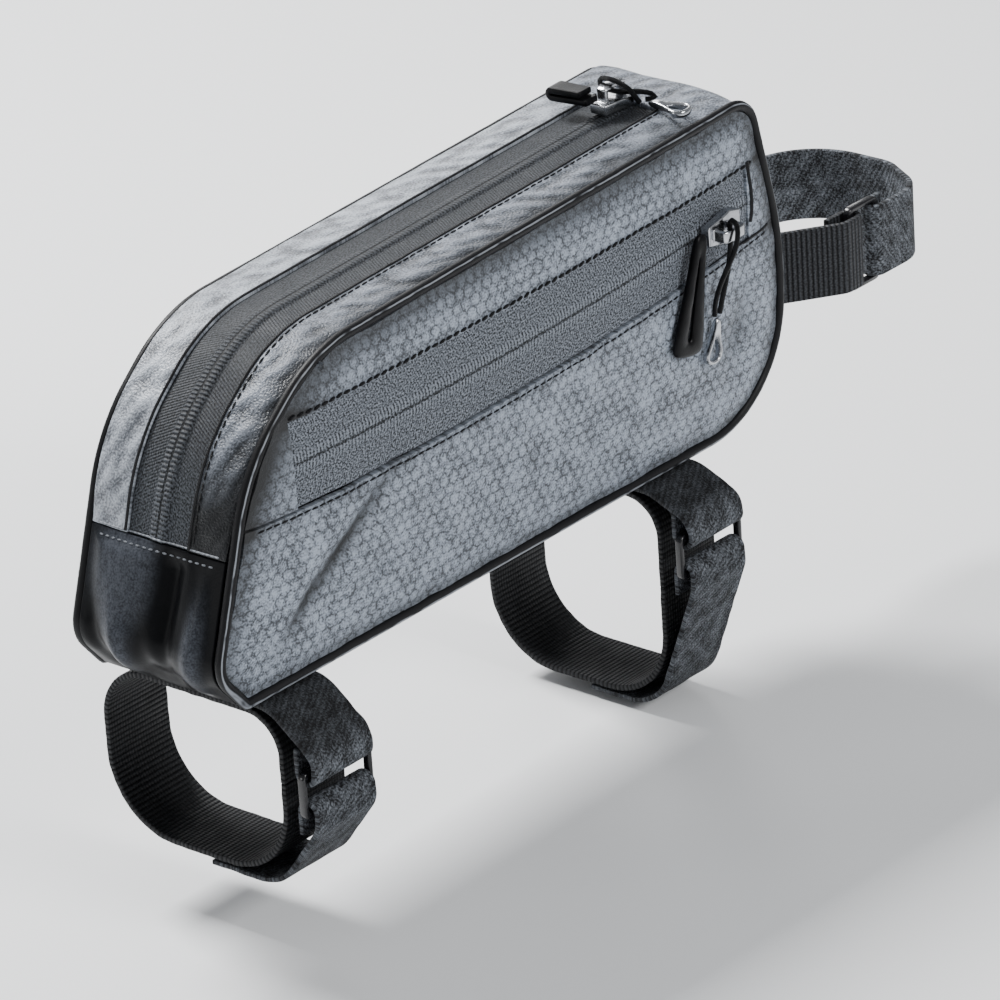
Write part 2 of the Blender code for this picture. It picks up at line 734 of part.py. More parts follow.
def tube_strap(prefix, share, tube_depth, ring_drop):
    """One strap round the top tube: the loop, its ring, the flap above it and the tail below."""
    middle = along(share)
    low, high = middle - STRAP_WIDTH / 2, middle + STRAP_WIDTH / 2
    side = TUBE_HALF_WIDTH + STRAP / 2
    bottom = LOOP_Z - tube_depth
    ring_y = -(side + RING_STAND_OFF)
    outer_y, inner_y = ring_y - WRAP, ring_y + WRAP
    upper_bar, lower_bar = -ring_drop + RING_SPAN / 2, -ring_drop - RING_SPAN / 2
    shoulder = 0.36 * side

    def to_world(y, z, x):
        return (x, y, z)

    corners = [Vector((-side, LOOP_Z)), Vector((side, LOOP_Z)),
               Vector((side, bottom)), Vector((-side, bottom))]
    radii = (shoulder, 1.45 * shoulder, 1.9 * shoulder, 1.9 * shoulder)
    loop = []
    for k in range(4):
        loop += fillet(corners[k - 1], corners[k], corners[(k + 1) % 4], radii[k], 5)
    ribbon(prefix + "_strap_loop", loop, low, high, webbing(), to_world, closed=True)

    flap = [(-0.2 * side, FLAP_Z, 0), (-0.9 * side, FLAP_Z, shoulder),
            (outer_y, upper_bar + 1.7 * WRAP, 2.3 * WRAP), (outer_y, upper_bar - WRAP, WRAP),
            (inner_y, upper_bar - WRAP, WRAP), (inner_y, upper_bar + HEM, 0)]
    ribbon(prefix + "_strap_flap", filleted_path(flap), low, high, hook_and_loop(), to_world)

    under = bottom - STRAP - SEAM_GAP
    tail = [(inner_y, lower_bar - HEM, 0), (inner_y, lower_bar + WRAP, WRAP),
            (outer_y, lower_bar + WRAP, WRAP), (outer_y, lower_bar - 1.6 * WRAP, 2.5 * WRAP),
            (-0.88 * side, under, 1.3 * shoulder), (-0.1 * side, under, 0)]
    ribbon(prefix + "_strap_tail", filleted_path(tail), low, high, hook_and_loop(), to_world)

    ring_plate(prefix + "_ring", STRAP_WIDTH,
               lambda u, v, w: (middle + u, ring_y + w, -ring_drop + v))


def steerer_strap():
    """The strap for the steerer: webbing from the front panel, a ring, and the strap round it."""
    low = STEERER_STRAP_HEIGHT - STEERER_STRAP_WIDTH / 2
    high = STEERER_STRAP_HEIGHT + STEERER_STRAP_WIDTH / 2
    s_low = rim_crossing(lambda p: p.y < high, S_FRONT_TOP, S_TOE_MIDDLE)
    s_high = rim_crossing(lambda p: p.y < low, S_FRONT_TOP, S_TOE_MIDDLE)
    face = max(rim_at(s).x for s in rim_stations(s_low, s_high)) + GUSSET_CROWN
    flat = face + SEAM_GAP + STRAP / 2
    centre = face + STEERER_REACH
    ring_x = centre - 0.5 * STEERER_RADIUS
    ring_y = -(STEERER_RADIUS + SEAM_GAP + STRAP + WRAP)
    outer_y, inner_y = ring_y - WRAP, ring_y + WRAP
    rear_bar, front_bar = ring_x - RING_SPAN / 2, ring_x + RING_SPAN / 2
    around = STEERER_RADIUS + STRAP / 2

    def to_world(x, y, z):
        return (x, y, z)

    web = [(flat, 0.15 * around, 0), (flat, -0.6 * around, 0.25 * around),
           (rear_bar - 1.9 * WRAP, outer_y, 2.0 * WRAP), (rear_bar + WRAP, outer_y, WRAP),
           (rear_bar + WRAP, inner_y, WRAP), (rear_bar - HEM, inner_y, 0)]
    ribbon("steerer_webbing", filleted_path(web), low, high, webbing(), to_world)

    over = [(front_bar + HEM, inner_y, 0), (front_bar - WRAP, inner_y, WRAP),
            (front_bar - WRAP, outer_y, WRAP), (centre + 0.55 * around, outer_y, 0.55 * around),
            (centre + around, -0.55 * around, 0.5 * around),
            (centre + around, around, 0.98 * around),
            (face + 0.55 * STEERER_REACH, around, 0.5 * around),
            (flat, 0.75 * around, 0.12 * around), (flat, 0.15 * around + STRAP, 0)]
    ribbon("steerer_strap", filleted_path(over), low, high, hook_and_loop(), to_world)

    ring_plate("steerer_ring", STEERER_STRAP_WIDTH,
               lambda u, v, w: (ring_x + v, ring_y + w, STEERER_STRAP_HEIGHT + u))


def slider_outline(half_length, half_width):
    """Seen from outside: broad at the front, where the coil opens, and narrow behind."""
    return [(-half_length, -0.55 * half_width), (-half_length, 0.55 * half_width),
            (-0.2 * half_length, 0.75 * half_width), (0.35 * half_length, half_width),
            (half_length, 0.8 * half_width), (half_length, -0.8 * half_width),
            (0.35 * half_length, -half_width), (-0.2 * half_length, -0.75 * half_width)]


def prism(bm, outline, low, high, to_world):
    """A solid with one outline, between two levels."""
    layers = [[bm.verts.new(to_world(u, v, level)) for u, v in outline] for level in (low, high)]
    bm.faces.new(layers[0])
    bm.faces.new(list(reversed(layers[1])))
    count = len(outline)
    for k in range(count):
        n = (k + 1) % count
        bm.faces.new([layers[0][n], layers[0][k], layers[1][k], layers[1][n]])


def slider(name, to_world):
    """A zip slider: the body and the bridge that its cord goes under, joined by a union."""
    bm = bmesh.new()
    prism(bm, slider_outline(SLIDER_LENGTH / 2, SLIDER_WIDTH / 2), 0.0, SLIDER_THICK, to_world)
    body = new_object(name, bm, bright_metal())
    rise = SLIDER_THICK + BRIDGE_ROOM
    top = rise + BRIDGE_THICK
    sunk = 0.6 * SLIDER_THICK
    rear, front = -0.36 * SLIDER_LENGTH, 0.30 * SLIDER_LENGTH
    profile = [(rear, sunk), (rear, 0.9 * top), (rear + BRIDGE_THICK, top),
               (front - BRIDGE_THICK, top), (front, 0.9 * top), (front, sunk),
               (front - BRIDGE_THICK, sunk), (front - BRIDGE_THICK, rise),
               (rear + BRIDGE_THICK, rise), (rear + BRIDGE_THICK, sunk)]
    half = BRIDGE_WIDTH / 2
    bm = bmesh.new()
    prism(bm, profile, -half, half, lambda a, c, b: to_world(a, b, c))
    bridge = new_object(name + "_bridge_form", bm, bright_metal())
    bridge.hide_render = True
    bridge.display_type = "WIRE"
    union = body.modifiers.new("bridge", "BOOLEAN")
    union.operation = "UNION"
    union.solver = "EXACT"
    union.object = bridge


def mirrored(rows, width, length):
    """A closed outline from rows of (share down, share of half width), the same on both sides."""
    one_side = [(share * width / 2, -down * length) for down, share in rows]
    return one_side + [(-u, v) for u, v in reversed(one_side)]


def cord_end(name, to_world):
    """The bright drop-shaped end of a cord, with its eye; it runs downwards from its top."""
    edge = ((0.0, 0.24), (0.22, 0.30), (0.48, 0.52), (0.74, 0.98), (0.90, 0.92), (1.0, 0.40))
    eye = ((0.50, 0.12), (0.57, 0.30), (0.66, 0.48), (0.76, 0.62), (0.85, 0.56), (0.90, 0.24))
    pierced_plate(name, mirrored(edge, END_WIDTH, END_LENGTH), mirrored(eye, END_WIDTH, END_LENGTH),
                  END_THICK, bright_metal(), to_world)


def pull_tab(name, to_world):
    """The soft black pull: narrow at the slider, two legs that flare to its end."""
    edge = ((0.0, 0.34), (0.12, 0.38), (0.40, 0.52), (0.70, 0.82), (0.92, 1.0), (1.0, 0.94))
    slit = ((0.22, 0.03), (0.30, 0.05), (0.45, 0.07), (0.62, 0.09), (0.80, 0.10), (0.86, 0.05))
    pierced_plate(name, mirrored(edge, PULL_WIDTH, PULL_LENGTH),
                  mirrored(slit, PULL_WIDTH, PULL_LENGTH), PULL_THICK, black_rubber(), to_world)


def smooth_route(points, step):
    """Points at equal steps along a smooth curve through a few chosen ones."""
    ends = [points[0] * 2 - points[1]] + points + [points[-1] * 2 - points[-2]]
    dense = []
    for k in range(1, len(ends) - 2):
        a, b, c, d = ends[k - 1:k + 3]
        for part in range(12):
            t = part / 12
            dense.append(0.5 * (2 * b + (c - a) * t + (2 * a - 5 * b + 4 * c - d) * t * t
                                + (3 * b - 3 * c + d - a) * t ** 3))
    dense.append(points[-1])
    total = sum((b - a).length for a, b in zip(dense, dense[1:]))
    return spread(dense, max(4, round(total / step)))


def cord(name, points):
    """A round cord along a smooth route."""
    route = smooth_route(points, 2.0 * CORD_DIAMETER)
    curve = bpy.data.curves.new(name, "CURVE")
    curve.dimensions = "3D"
    curve.bevel_depth = CORD_DIAMETER / 2
    curve.bevel_resolution = 2
    curve.use_fill_caps = True
    spline = curve.splines.new("POLY")
    spline.points.add(len(route) - 1)
    for knot, point in zip(spline.points, route):
        knot.co = (*point, 1.0)
    curve.materials.append(black_cord())
    made = bpy.data.objects.new(name, curve)
    bpy.context.scene.collection.objects.link(made)


# The routes of the two cords from end to end, over the bridge and back under it, in millimetres:
# forward along the zip, across it, and outwards from the slider's seat
POCKET_CORD = ((-4.3, -20.6, 1.7), (-4.9, -17.0, 2.6), (-5.0, -12.0, 4.4), (-4.2, -7.0, 6.4),
               (-2.8, -3.0, 7.6), (-1.7, 0.0, 7.7), (-0.9, 2.3, 7.0), (-0.3, 3.2, 5.4),
               (0.1, 2.3, 4.1), (0.3, 0.0, 3.9), (0.2, -3.0, 3.9), (-0.2, -7.0, 3.7),
               (-1.0, -12.0, 3.1), (-1.9, -17.0, 2.3), (-2.4, -20.6, 1.7))
MAIN_CORD = ((3.1, -5.4, 0.9), (2.3, -5.1, 2.2), (0.6, -4.6, 5.0), (-1.0, -2.6, 7.1),
             (-1.6, 0.0, 7.7), (-1.2, 2.3, 7.0), (-0.6, 3.2, 5.4), (-0.1, 2.3, 4.1),
             (0.1, 0.0, 3.9), (0.5, -2.4, 3.9), (2.6, -4.6, 3.7), (6.2, -5.6, 2.2),
             (7.2, -7.0, 1.2), (6.0, -6.6, 0.9), (5.0, -5.6, 0.9))


def surface_clearance(x, z):
    """How far the right side stands out at a place, with the coil's height on the zip."""
    return side_crown(x, z) + (COIL_HEIGHT - TAPE_RECESS if z > seam_z(x) else 0.0)


def hanging(seat_x, seat_z, base, start, length, turn, half_width):
    """The slope and frame of a flat piece that hangs from the pocket slider to the cloth."""
    lean = math.radians(turn)
    lift = start[2]
    slope = -1.0
    for step in range(4, 17):
        down = length * step / 16
        for side in (-half_width, 0.0, half_width):
            x = seat_x + start[0] - down * math.sin(lean) + side
            z = seat_z + start[1] - down * math.cos(lean)
            need = surface_clearance(x, z) - base + SEAM_GAP
            slope = max(slope, (need - lift) / down)

    def to_side(p, q, w):
        u = start[0] + q * math.sin(lean) + p * math.cos(lean)
        v = start[1] + q * math.cos(lean) - p * math.sin(lean)
        out = base + lift - q * slope + w
        return (seat_x + u, -(HALF_WIDTH + out), seat_z + v)

    return to_side


def pocket_furniture():
    """The pocket zip's slider with its pull, its cord and the cord's end."""
    seat_x = along(POCKET_SLIDER_X)
    seat_z = (seam_z(seat_x) + stitch_z(seat_x)) / 2
    ends = (seat_x - SLIDER_LENGTH / 2, seat_x, seat_x + SLIDER_LENGTH / 2)
    base = max(surface_clearance(x, seat_z) for x in ends) + SEAM_GAP

    def to_side(u, v, w):
        return (seat_x + u, -(HALF_WIDTH + base + w), seat_z + v)

    slider("pocket_slider", to_side)
    cord("pocket_cord", [Vector(to_side(*(MM * value for value in row))) for row in POCKET_CORD])
    end_top = (-POCKET_END_BACK, -CORD_REACH, 0.7 * MM)
    cord_end("pocket_cord_end", hanging(seat_x, seat_z, base, end_top, END_LENGTH,
                                        POCKET_END_LEAN, END_WIDTH / 2))
    pull_top = (-0.5 * SLIDER_LENGTH - 0.20 * PULL_WIDTH - SEAM_GAP, 2.5 * MM, 1.2 * MM)
    pull_tab("pocket_pull", hanging(seat_x, seat_z, base, pull_top, PULL_LENGTH, PULL_LEAN,
                                    PULL_WIDTH / 2))


def main_furniture():
    """The main zip's slider with its folded pull, its cord and the cord's end."""
    seat = rim_crossing(lambda p: p.x > along(MAIN_SLIDER_X), S_SHOULDER, S_FRONT_TOP)
    out = rim_out(seat)
    forward = Vector((out.y, -out.x))
    base = rim_at(seat) + out * (GUSSET_CROWN + COIL_HEIGHT - TAPE_RECESS + SEAM_GAP)

    def to_top(u, v, w):
        point = base + forward * u + out * w
        return (point.x, v, point.y)

    slider("main_slider", to_top)
    cord("main_cord", [Vector(to_top(*(MM * value for value in row))) for row in MAIN_CORD])

    def end_frame(p, q, w):
        return to_top(MAIN_END_AHEAD + p, q - MAIN_CORD_REACH, w - 0.1 * MM + 0.02 * q)

    cord_end("main_cord_end", end_frame)
    rise = SLIDER_THICK + SEAM_GAP + PULL_THICK / 2
    path = [(0.5 * MM, rise, 0), (FOLDED_PULL_REACH, rise, FOLD_RADIUS),
            (FOLDED_PULL_REACH, rise + FOLD_RISE, FOLD_RADIUS), (2.5 * MM, rise + FOLD_RISE, 0)]
    rear = -0.5 * SLIDER_LENGTH
    ribbon("main_pull", filleted_path(path), rear - 0.3 * PULL_WIDTH, rear + 0.1 * PULL_WIDTH,
           black_rubber(), lambda v, w, u: to_top(u, v, w), thick=PULL_THICK)


def main():
    clear_scene()
    side_panel_left()
    side_panel_right_lower()
    side_panel_right_upper()
    pocket_zip()
    main_zip()
    nose_panel()
    gussets()
    piping("piping_right", -1)
    piping("piping_left", 1)
    tube_strap("rear", REAR_STRAP_X, REAR_TUBE_DEPTH, REAR_RING_DROP)
    tube_strap("front", FRONT_STRAP_X, FRONT_TUBE_DEPTH, FRONT_RING_DROP)
    steerer_strap()
    pocket_furniture()
    main_furniture()


main()
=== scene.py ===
"""The looks of a cloth top tube bag: its panels, zips, piping, straps, rings, sliders and pulls.

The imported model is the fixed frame. +X is forward, +Y the rider's left, +Z up, and the origin is
on the underside of the base, midway between the two tube straps. Lengths are in metres.
"""
import logging
import math
import random
from dataclasses import dataclass, field
from enum import Enum, IntEnum
from typing import Callable, Iterable, Sequence

import bpy
from mathutils import Matrix, Vector, noise
from mathutils.bvhtree import BVHTree
from mathutils.kdtree import KDTree


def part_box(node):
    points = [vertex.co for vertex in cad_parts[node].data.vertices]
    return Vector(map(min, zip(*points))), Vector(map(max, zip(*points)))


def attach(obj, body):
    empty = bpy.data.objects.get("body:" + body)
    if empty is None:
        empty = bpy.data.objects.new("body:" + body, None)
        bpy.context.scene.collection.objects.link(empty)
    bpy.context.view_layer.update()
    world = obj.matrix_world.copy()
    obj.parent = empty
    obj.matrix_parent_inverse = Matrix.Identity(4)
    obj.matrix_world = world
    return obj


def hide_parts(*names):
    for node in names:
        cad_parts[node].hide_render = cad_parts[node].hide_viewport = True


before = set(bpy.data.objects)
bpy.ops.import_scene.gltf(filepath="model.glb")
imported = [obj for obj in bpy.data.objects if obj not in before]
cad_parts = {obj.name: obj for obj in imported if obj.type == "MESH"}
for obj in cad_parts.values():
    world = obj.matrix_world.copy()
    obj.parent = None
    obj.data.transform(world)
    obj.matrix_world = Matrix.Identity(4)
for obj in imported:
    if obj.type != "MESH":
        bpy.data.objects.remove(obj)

LOG = logging.getLogger("top_tube_bag")
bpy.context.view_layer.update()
MM = 0.001
SEAM_GAP = 0.3 * MM
HAIR = 0.05 * MM
CLOTH = 1.5 * MM

Place = Callable[[float, float], Vector]


class Side(Enum):
    """Which side of the bag a piece is on, as the sign of its Y."""

    RIGHT = -1
    LEFT = 1


class Corner(IntEnum):
    """The corners of the outline that pieces start or end at, by their place in its table."""

    HEEL = 0
    SHOULDER = 3
    FRONT_TOP = 4
    TOE = 6


class Slot(Enum):
    """The record's material slots."""

    SIDE = "side_cloth"
    GUSSET = "gusset_cloth"
    COATED = "coated_cloth"
    TAPE = "zip_tape"
    PIPING = "piping_cloth"
    WEBBING = "webbing"
    LOOP = "hook_and_loop"
    PLASTIC = "black_plastic"
    RUBBER = "black_rubber"
    METAL = "bright_metal"
    CORD = "black_cord"


class TreeWriter:
    """Adds nodes to a node tree and links them."""

    def __init__(self, tree: bpy.types.NodeTree) -> None:
        """Keep the tree to write in."""
        self.tree = tree

    def add(self, kind: str, *inputs: object, **settings: object) -> bpy.types.Node:
        """Add a node.

        Args:
            kind: the node's type name.
            inputs: values or sockets for its first inputs, None to skip one.
            settings: attributes of the node, or inputs by name where a key starts with in_.

        Returns:
            The new node.
        """
        node = self.tree.nodes.new(kind)
        named = {}
        for key, value in settings.items():
            if key.startswith("in_"):
                named[key[3:].replace("_", " ")] = value
            else:
                setattr(node, key, value)
        for place, value in enumerate(inputs):
            self.put(node.inputs[place], value)
        for key, value in named.items():
            self.put(node.inputs[key], value)
        return node

    def put(self, socket: bpy.types.NodeSocket, value: object) -> None:
        """Set a socket's value, or link another socket to it."""
        if value is None:
            return
        if isinstance(value, bpy.types.NodeSocket):
            self.tree.links.new(value, socket)
        else:
            socket.default_value = value

    def calc(self, operation: str, *values: object) -> bpy.types.NodeSocket:
        """One step of arithmetic, as the socket of its result."""
        return self.add("ShaderNodeMath", *values, operation=operation).outputs[0]

    def total(self, *parts: tuple[bpy.types.NodeSocket, float]) -> bpy.types.NodeSocket:
        """The sum of some sockets, each times its weight."""
        result = self.calc("MULTIPLY", *parts[0])
        for socket, weight in parts[1:]:
            result = self.calc("MULTIPLY_ADD", socket, weight, result)
        return result

    def uv(self) -> tuple[bpy.types.NodeSocket, bpy.types.NodeSocket, bpy.types.NodeSocket]:
        """The piece's UV map in metres, then the length along it and across it."""
        uv = self.add("ShaderNodeUVMap").outputs[0]
        parts = self.add("ShaderNodeSeparateXYZ", uv)
        return uv, parts.outputs[0], parts.outputs[1]

    def vector(self, operation: str, *values: object) -> bpy.types.NodeSocket:
        """One step of vector arithmetic, as the socket of its vector."""
        return self.add("ShaderNodeVectorMath", *values, operation=operation).outputs[0]

    def band(self, value: object, low: float, high: float) -> bpy.types.NodeSocket:
        """A smooth ramp from 0 at low to 1 at high."""
        return self.add("ShaderNodeMapRange", value, low, high, 0.0, 1.0,
                        interpolation_type="SMOOTHSTEP").outputs[0]

    def mix(self, share: object, first: object, second: object) -> bpy.types.NodeSocket:
        """A mix of two colours."""
        node = self.tree.nodes.new("ShaderNodeMix")
        node.data_type = "RGBA"
        self.put(node.inputs[0], share)
        self.put(node.inputs[6], first)
        self.put(node.inputs[7], second)
        return node.outputs[2]

    def grain(self, at: object, size: float, detail: float = 2.0) -> bpy.types.NodeSocket:
        """Noise whose blotches are about as big as size, from 0 to 1."""
        return self.add("ShaderNodeTexNoise", at, in_Scale=1.0 / size, in_Detail=detail).outputs[0]


def new_group(name: str, inputs: Sequence[tuple[str, str, object]],
              outputs: Sequence[str]) -> tuple[bpy.types.NodeTree, TreeWriter, bpy.types.Node,
                                               bpy.types.Node]:
    """Start a shader node group.

    Args:
        name: the group's name.
        inputs: each input's name, socket type and starting value.
        outputs: the names of its number outputs.

    Returns:
        The group, its writer, its input node and its output node.
    """
    group = bpy.data.node_groups.new(name, "ShaderNodeTree")
    for label, kind, value in inputs:
        socket = group.interface.new_socket(label, in_out="INPUT", socket_type=kind)
        if value is not None:
            socket.default_value = value
    for label in outputs:
        group.interface.new_socket(label, in_out="OUTPUT", socket_type="NodeSocketFloat")
    writer = TreeWriter(group)
    return group, writer, writer.add("NodeGroupInput"), writer.add("NodeGroupOutput")


def hexagon_group() -> bpy.types.NodeTree:
    """Hexagons of ripstop yarn in the XY plane: Yarn is 1 on a cell's edge, Inside 1 at its middle."""
    group, w, given, result = new_group(
        "ripstop hexagons", [("Vector", "NodeSocketVector", None), ("Cell", "NodeSocketFloat", 3 * MM)],
        ("Yarn", "Inside"))
    scaled = w.add("ShaderNodeVectorMath", given.outputs[0], operation="SCALE",
                   in_Scale=w.calc("DIVIDE", 1.0, given.outputs[1])).outputs[0]
    tall = math.sqrt(3)
    step, half = (1.0, tall, 1.0), (0.5, tall / 2, 0.5)
    far = 100.0
    edges = []
    for shift in ((0.0, 0.0, 0.0), half):
        moved = w.vector("ADD", scaled, tuple(far * s + h for s, h in zip(step, shift)))
        local = w.vector("SUBTRACT", w.vector("MODULO", moved, step), half)
        size = w.vector("ABSOLUTE", local)
        parts = w.add("ShaderNodeSeparateXYZ", size)
        slanted = w.total((parts.outputs[0], 0.5), (parts.outputs[1], tall / 2))
        edges.append(w.calc("MAXIMUM", parts.outputs[0], slanted))
    reach = w.calc("MINIMUM", *edges)
    w.put(result.inputs[0], w.band(reach, 0.38, 0.50))
    w.put(result.inputs[1], w.calc("SUBTRACT", 1.0, w.band(reach, 0.0, 0.5)))
    return group


def pile_group() -> bpy.types.NodeTree:
    """The pile of a loop tape: Height of its tufts and Fleck, 1 on the few pale fibres."""
    group, w, given, result = new_group(
        "loop pile", [("Vector", "NodeSocketVector", None), ("Tuft", "NodeSocketFloat", 0.6 * MM)],
        ("Height", "Fleck"))
    scaled = w.add("ShaderNodeVectorMath", given.outputs[0], operation="SCALE",
                   in_Scale=w.calc("DIVIDE", 1.0, given.outputs[1])).outputs[0]
    coarse = w.add("ShaderNodeTexNoise", scaled, in_Scale=1.0, in_Detail=4.0, in_Roughness=0.7)
    cells = w.add("ShaderNodeTexVoronoi", scaled, in_Scale=1.3, in_Randomness=1.0)
    w.put(result.inputs[0], w.total((coarse.outputs[0], 1.0), (cells.outputs[0], -0.35)))
    w.put(result.inputs[1], w.band(coarse.outputs[0], 0.54, 0.66))
    return group


HEXAGONS = hexagon_group()
PILE = pile_group()


@dataclass(frozen=True)
class Finish:
    """What every finish has: two tones, a roughness, its relief and how much the roughness varies.

    Where a piece carries painted shade, the cloth goes to a share of its dark tone. The tones are the
    range of the pattern's value that runs from the dark tone to the light one.
    """

    slot: Slot
    dark: tuple[float, float, float]
    light: tuple[float, float, float]
    roughness: float
    relief: float = 0.0002
    metallic: float = 0.0
    sheen: float = 0.0
    specular: float = 0.5
    name: str = ""
    tones: tuple[float, float] = (0.3, 0.7)
    shade_share: float = 0.15
    uneven: float = 0.24

    @property
    def title(self) -> str:
        """The material's name."""
        return self.name or self.slot.value + "_finish"

    def start(self) -> tuple[bpy.types.Material, TreeWriter, bpy.types.Node]:
        """Make the material and its Principled shader with the values that never vary."""
        made = bpy.data.materials.new(self.title)
        made.use_nodes = True
        shader = made.node_tree.nodes["Principled BSDF"]
        shader.inputs["Metallic"].default_value = self.metallic
        shader.inputs["Sheen Weight"].default_value = self.sheen
        shader.inputs["Sheen Roughness"].default_value = 0.4
        shader.inputs["Specular IOR Level"].default_value = self.specular
        return made, TreeWriter(made.node_tree), shader

    def close(self, w: TreeWriter, shader: bpy.types.Node, share: bpy.types.NodeSocket,
              height: bpy.types.NodeSocket, wear: bpy.types.NodeSocket) -> None:
        """Link the tone, the relief and the uneven roughness to the shader."""
        cloth = w.mix(share, (*self.dark, 1.0), (*self.light, 1.0))
        # Painted shade: a per-point attribute darkens the cloth towards a share of its dark tone.
        painted_shade = w.add("ShaderNodeAttribute", attribute_name="painted_shade").outputs["Fac"]
        black = (*[self.shade_share * c for c in self.dark], 1.0)
        w.put(shader.inputs["Base Color"], w.mix(painted_shade, cloth, black))
        bump = w.add("ShaderNodeBump", in_Strength=1.0, in_Distance=self.relief, in_Height=height)
        w.put(shader.inputs["Normal"], bump.outputs[0])
        spread = w.calc("MULTIPLY_ADD", wear, self.uneven, self.roughness - self.uneven / 2)
        w.put(shader.inputs["Roughness"], spread)

    def build(self) -> bpy.types.Material:
        """Make a plain grained surface, such as moulded plastic, rubber or metal."""
        made, w, shader = self.start()
        at = w.add("ShaderNodeTexCoord").outputs["Object"]
        broad = w.grain(at, 4 * MM)
        self.close(w, shader, w.band(broad, *self.tones), w.grain(at, 0.4 * MM, 3.0), broad)
        return made


@dataclass(frozen=True)
class RipstopFinish(Finish):
    """The side cloth: a heathered weave with a raised net of hexagons, broken in places."""

    tones: tuple[float, float] = (0.90, 1.66)
    cell: float = 3.2 * MM
    wander: float = 0.4 * MM
    wander_scale: float = 160.0

    def build(self) -> bpy.types.Material:
        """Make the material."""
        made, w, shader = self.start()
        at = w.add("ShaderNodeSeparateXYZ", w.add("ShaderNodeTexCoord").outputs["Object"])
        flat = w.add("ShaderNodeCombineXYZ", at.outputs[0], at.outputs[2]).outputs[0]
        drift = w.add("ShaderNodeTexNoise", flat, in_Scale=self.wander_scale, in_Detail=1.0).outputs[1]
        bent = w.vector("MULTIPLY_ADD", drift, (self.wander, self.wander, 0.0), flat)
        net = w.add("ShaderNodeGroup", node_tree=HEXAGONS)
        w.put(net.inputs[0], bent)
        w.put(net.inputs[1], self.cell)
        slub = w.grain(w.vector("MULTIPLY", flat, (0.35, 1.6, 1.0)), 0.9 * MM, 3.0)
        speck = w.grain(flat, 0.55 * MM, 1.0)
        mottle = w.grain(flat, 1.7 * MM, 1.0)
        patches = w.grain(flat, 7 * MM, 1.0)
        broken = w.band(w.grain(flat, 1.2 * MM, 1.0), 0.26, 0.62)
        yarn, inside = w.calc("MULTIPLY", net.outputs[0], broken), net.outputs[1]
        tone = w.total((speck, 1.20), (slub, 0.35), (mottle, 0.40), (yarn, -0.22), (inside, 0.20),
                       (patches, 0.55))
        height = w.total((speck, 1.1), (inside, 0.6))
        self.close(w, shader, w.band(tone, *self.tones), height, w.grain(flat, 12 * MM))
        return made


@dataclass(frozen=True)
class PlainClothFinish(Finish):
    """A fine plain cloth with slubs, matt or coated."""

    tones: tuple[float, float] = (0.30, 0.90)
    pitch: float = 0.5 * MM
    depth: float = 0.5

    def build(self) -> bpy.types.Material:
        """Make the material."""
        made, w, shader = self.start()
        at = w.add("ShaderNodeTexCoord").outputs["Object"]
        fine = w.grain(at, self.pitch, 1.0)
        slub = w.grain(w.vector("MULTIPLY", at, (0.5, 1.0, 1.0)), 1.6 * MM, 3.0)
        creases = w.grain(w.vector("MULTIPLY", at, (1.0, 1.0, 0.45)), 6 * MM, 1.0)
        height = w.total((fine, self.depth), (creases, 1.8))
        tone = w.total((fine, 0.7), (slub, 0.5))
        self.close(w, shader, w.band(tone, *self.tones), height, w.grain(at, 14 * MM))
        return made


@dataclass(frozen=True)
class PuckeredFinish(Finish):
    """The strips' cloth, drawn up by their seams into small slanting puckers. It reads UV in metres."""

    tones: tuple[float, float] = (0.66, 1.34)
    pucker: float = 2.9 * MM
    slant: float = 22.0
    stretch: float = 0.45

    def build(self) -> bpy.types.Material:
        """Make the material."""
        made, w, shader = self.start()
        uv, run, across = w.uv()
        sine, cosine = math.sin(math.radians(self.slant)), math.cos(math.radians(self.slant))
        over = w.total((run, sine), (across, cosine))
        along = w.total((run, cosine), (across, -sine))
        slanted = w.add("ShaderNodeCombineXYZ", over, w.calc("MULTIPLY", along, self.stretch))
        ridges = w.grain(slanted.outputs[0], self.pucker, 0.0)
        fine = w.grain(uv, 0.55 * MM, 1.0)
        mottle = w.grain(uv, 2.2 * MM, 1.0)
        height = w.total((fine, 1.1), (ridges, 4.2))
        # The pucker ridges are also painted lighter than their hollows: painted light and shade on top
        # of their bump.
        tone = w.total((mottle, 0.3), (fine, 0.9), (ridges, 0.8))
        self.close(w, shader, w.band(tone, *self.tones), height, w.grain(uv, 16 * MM))
        return made


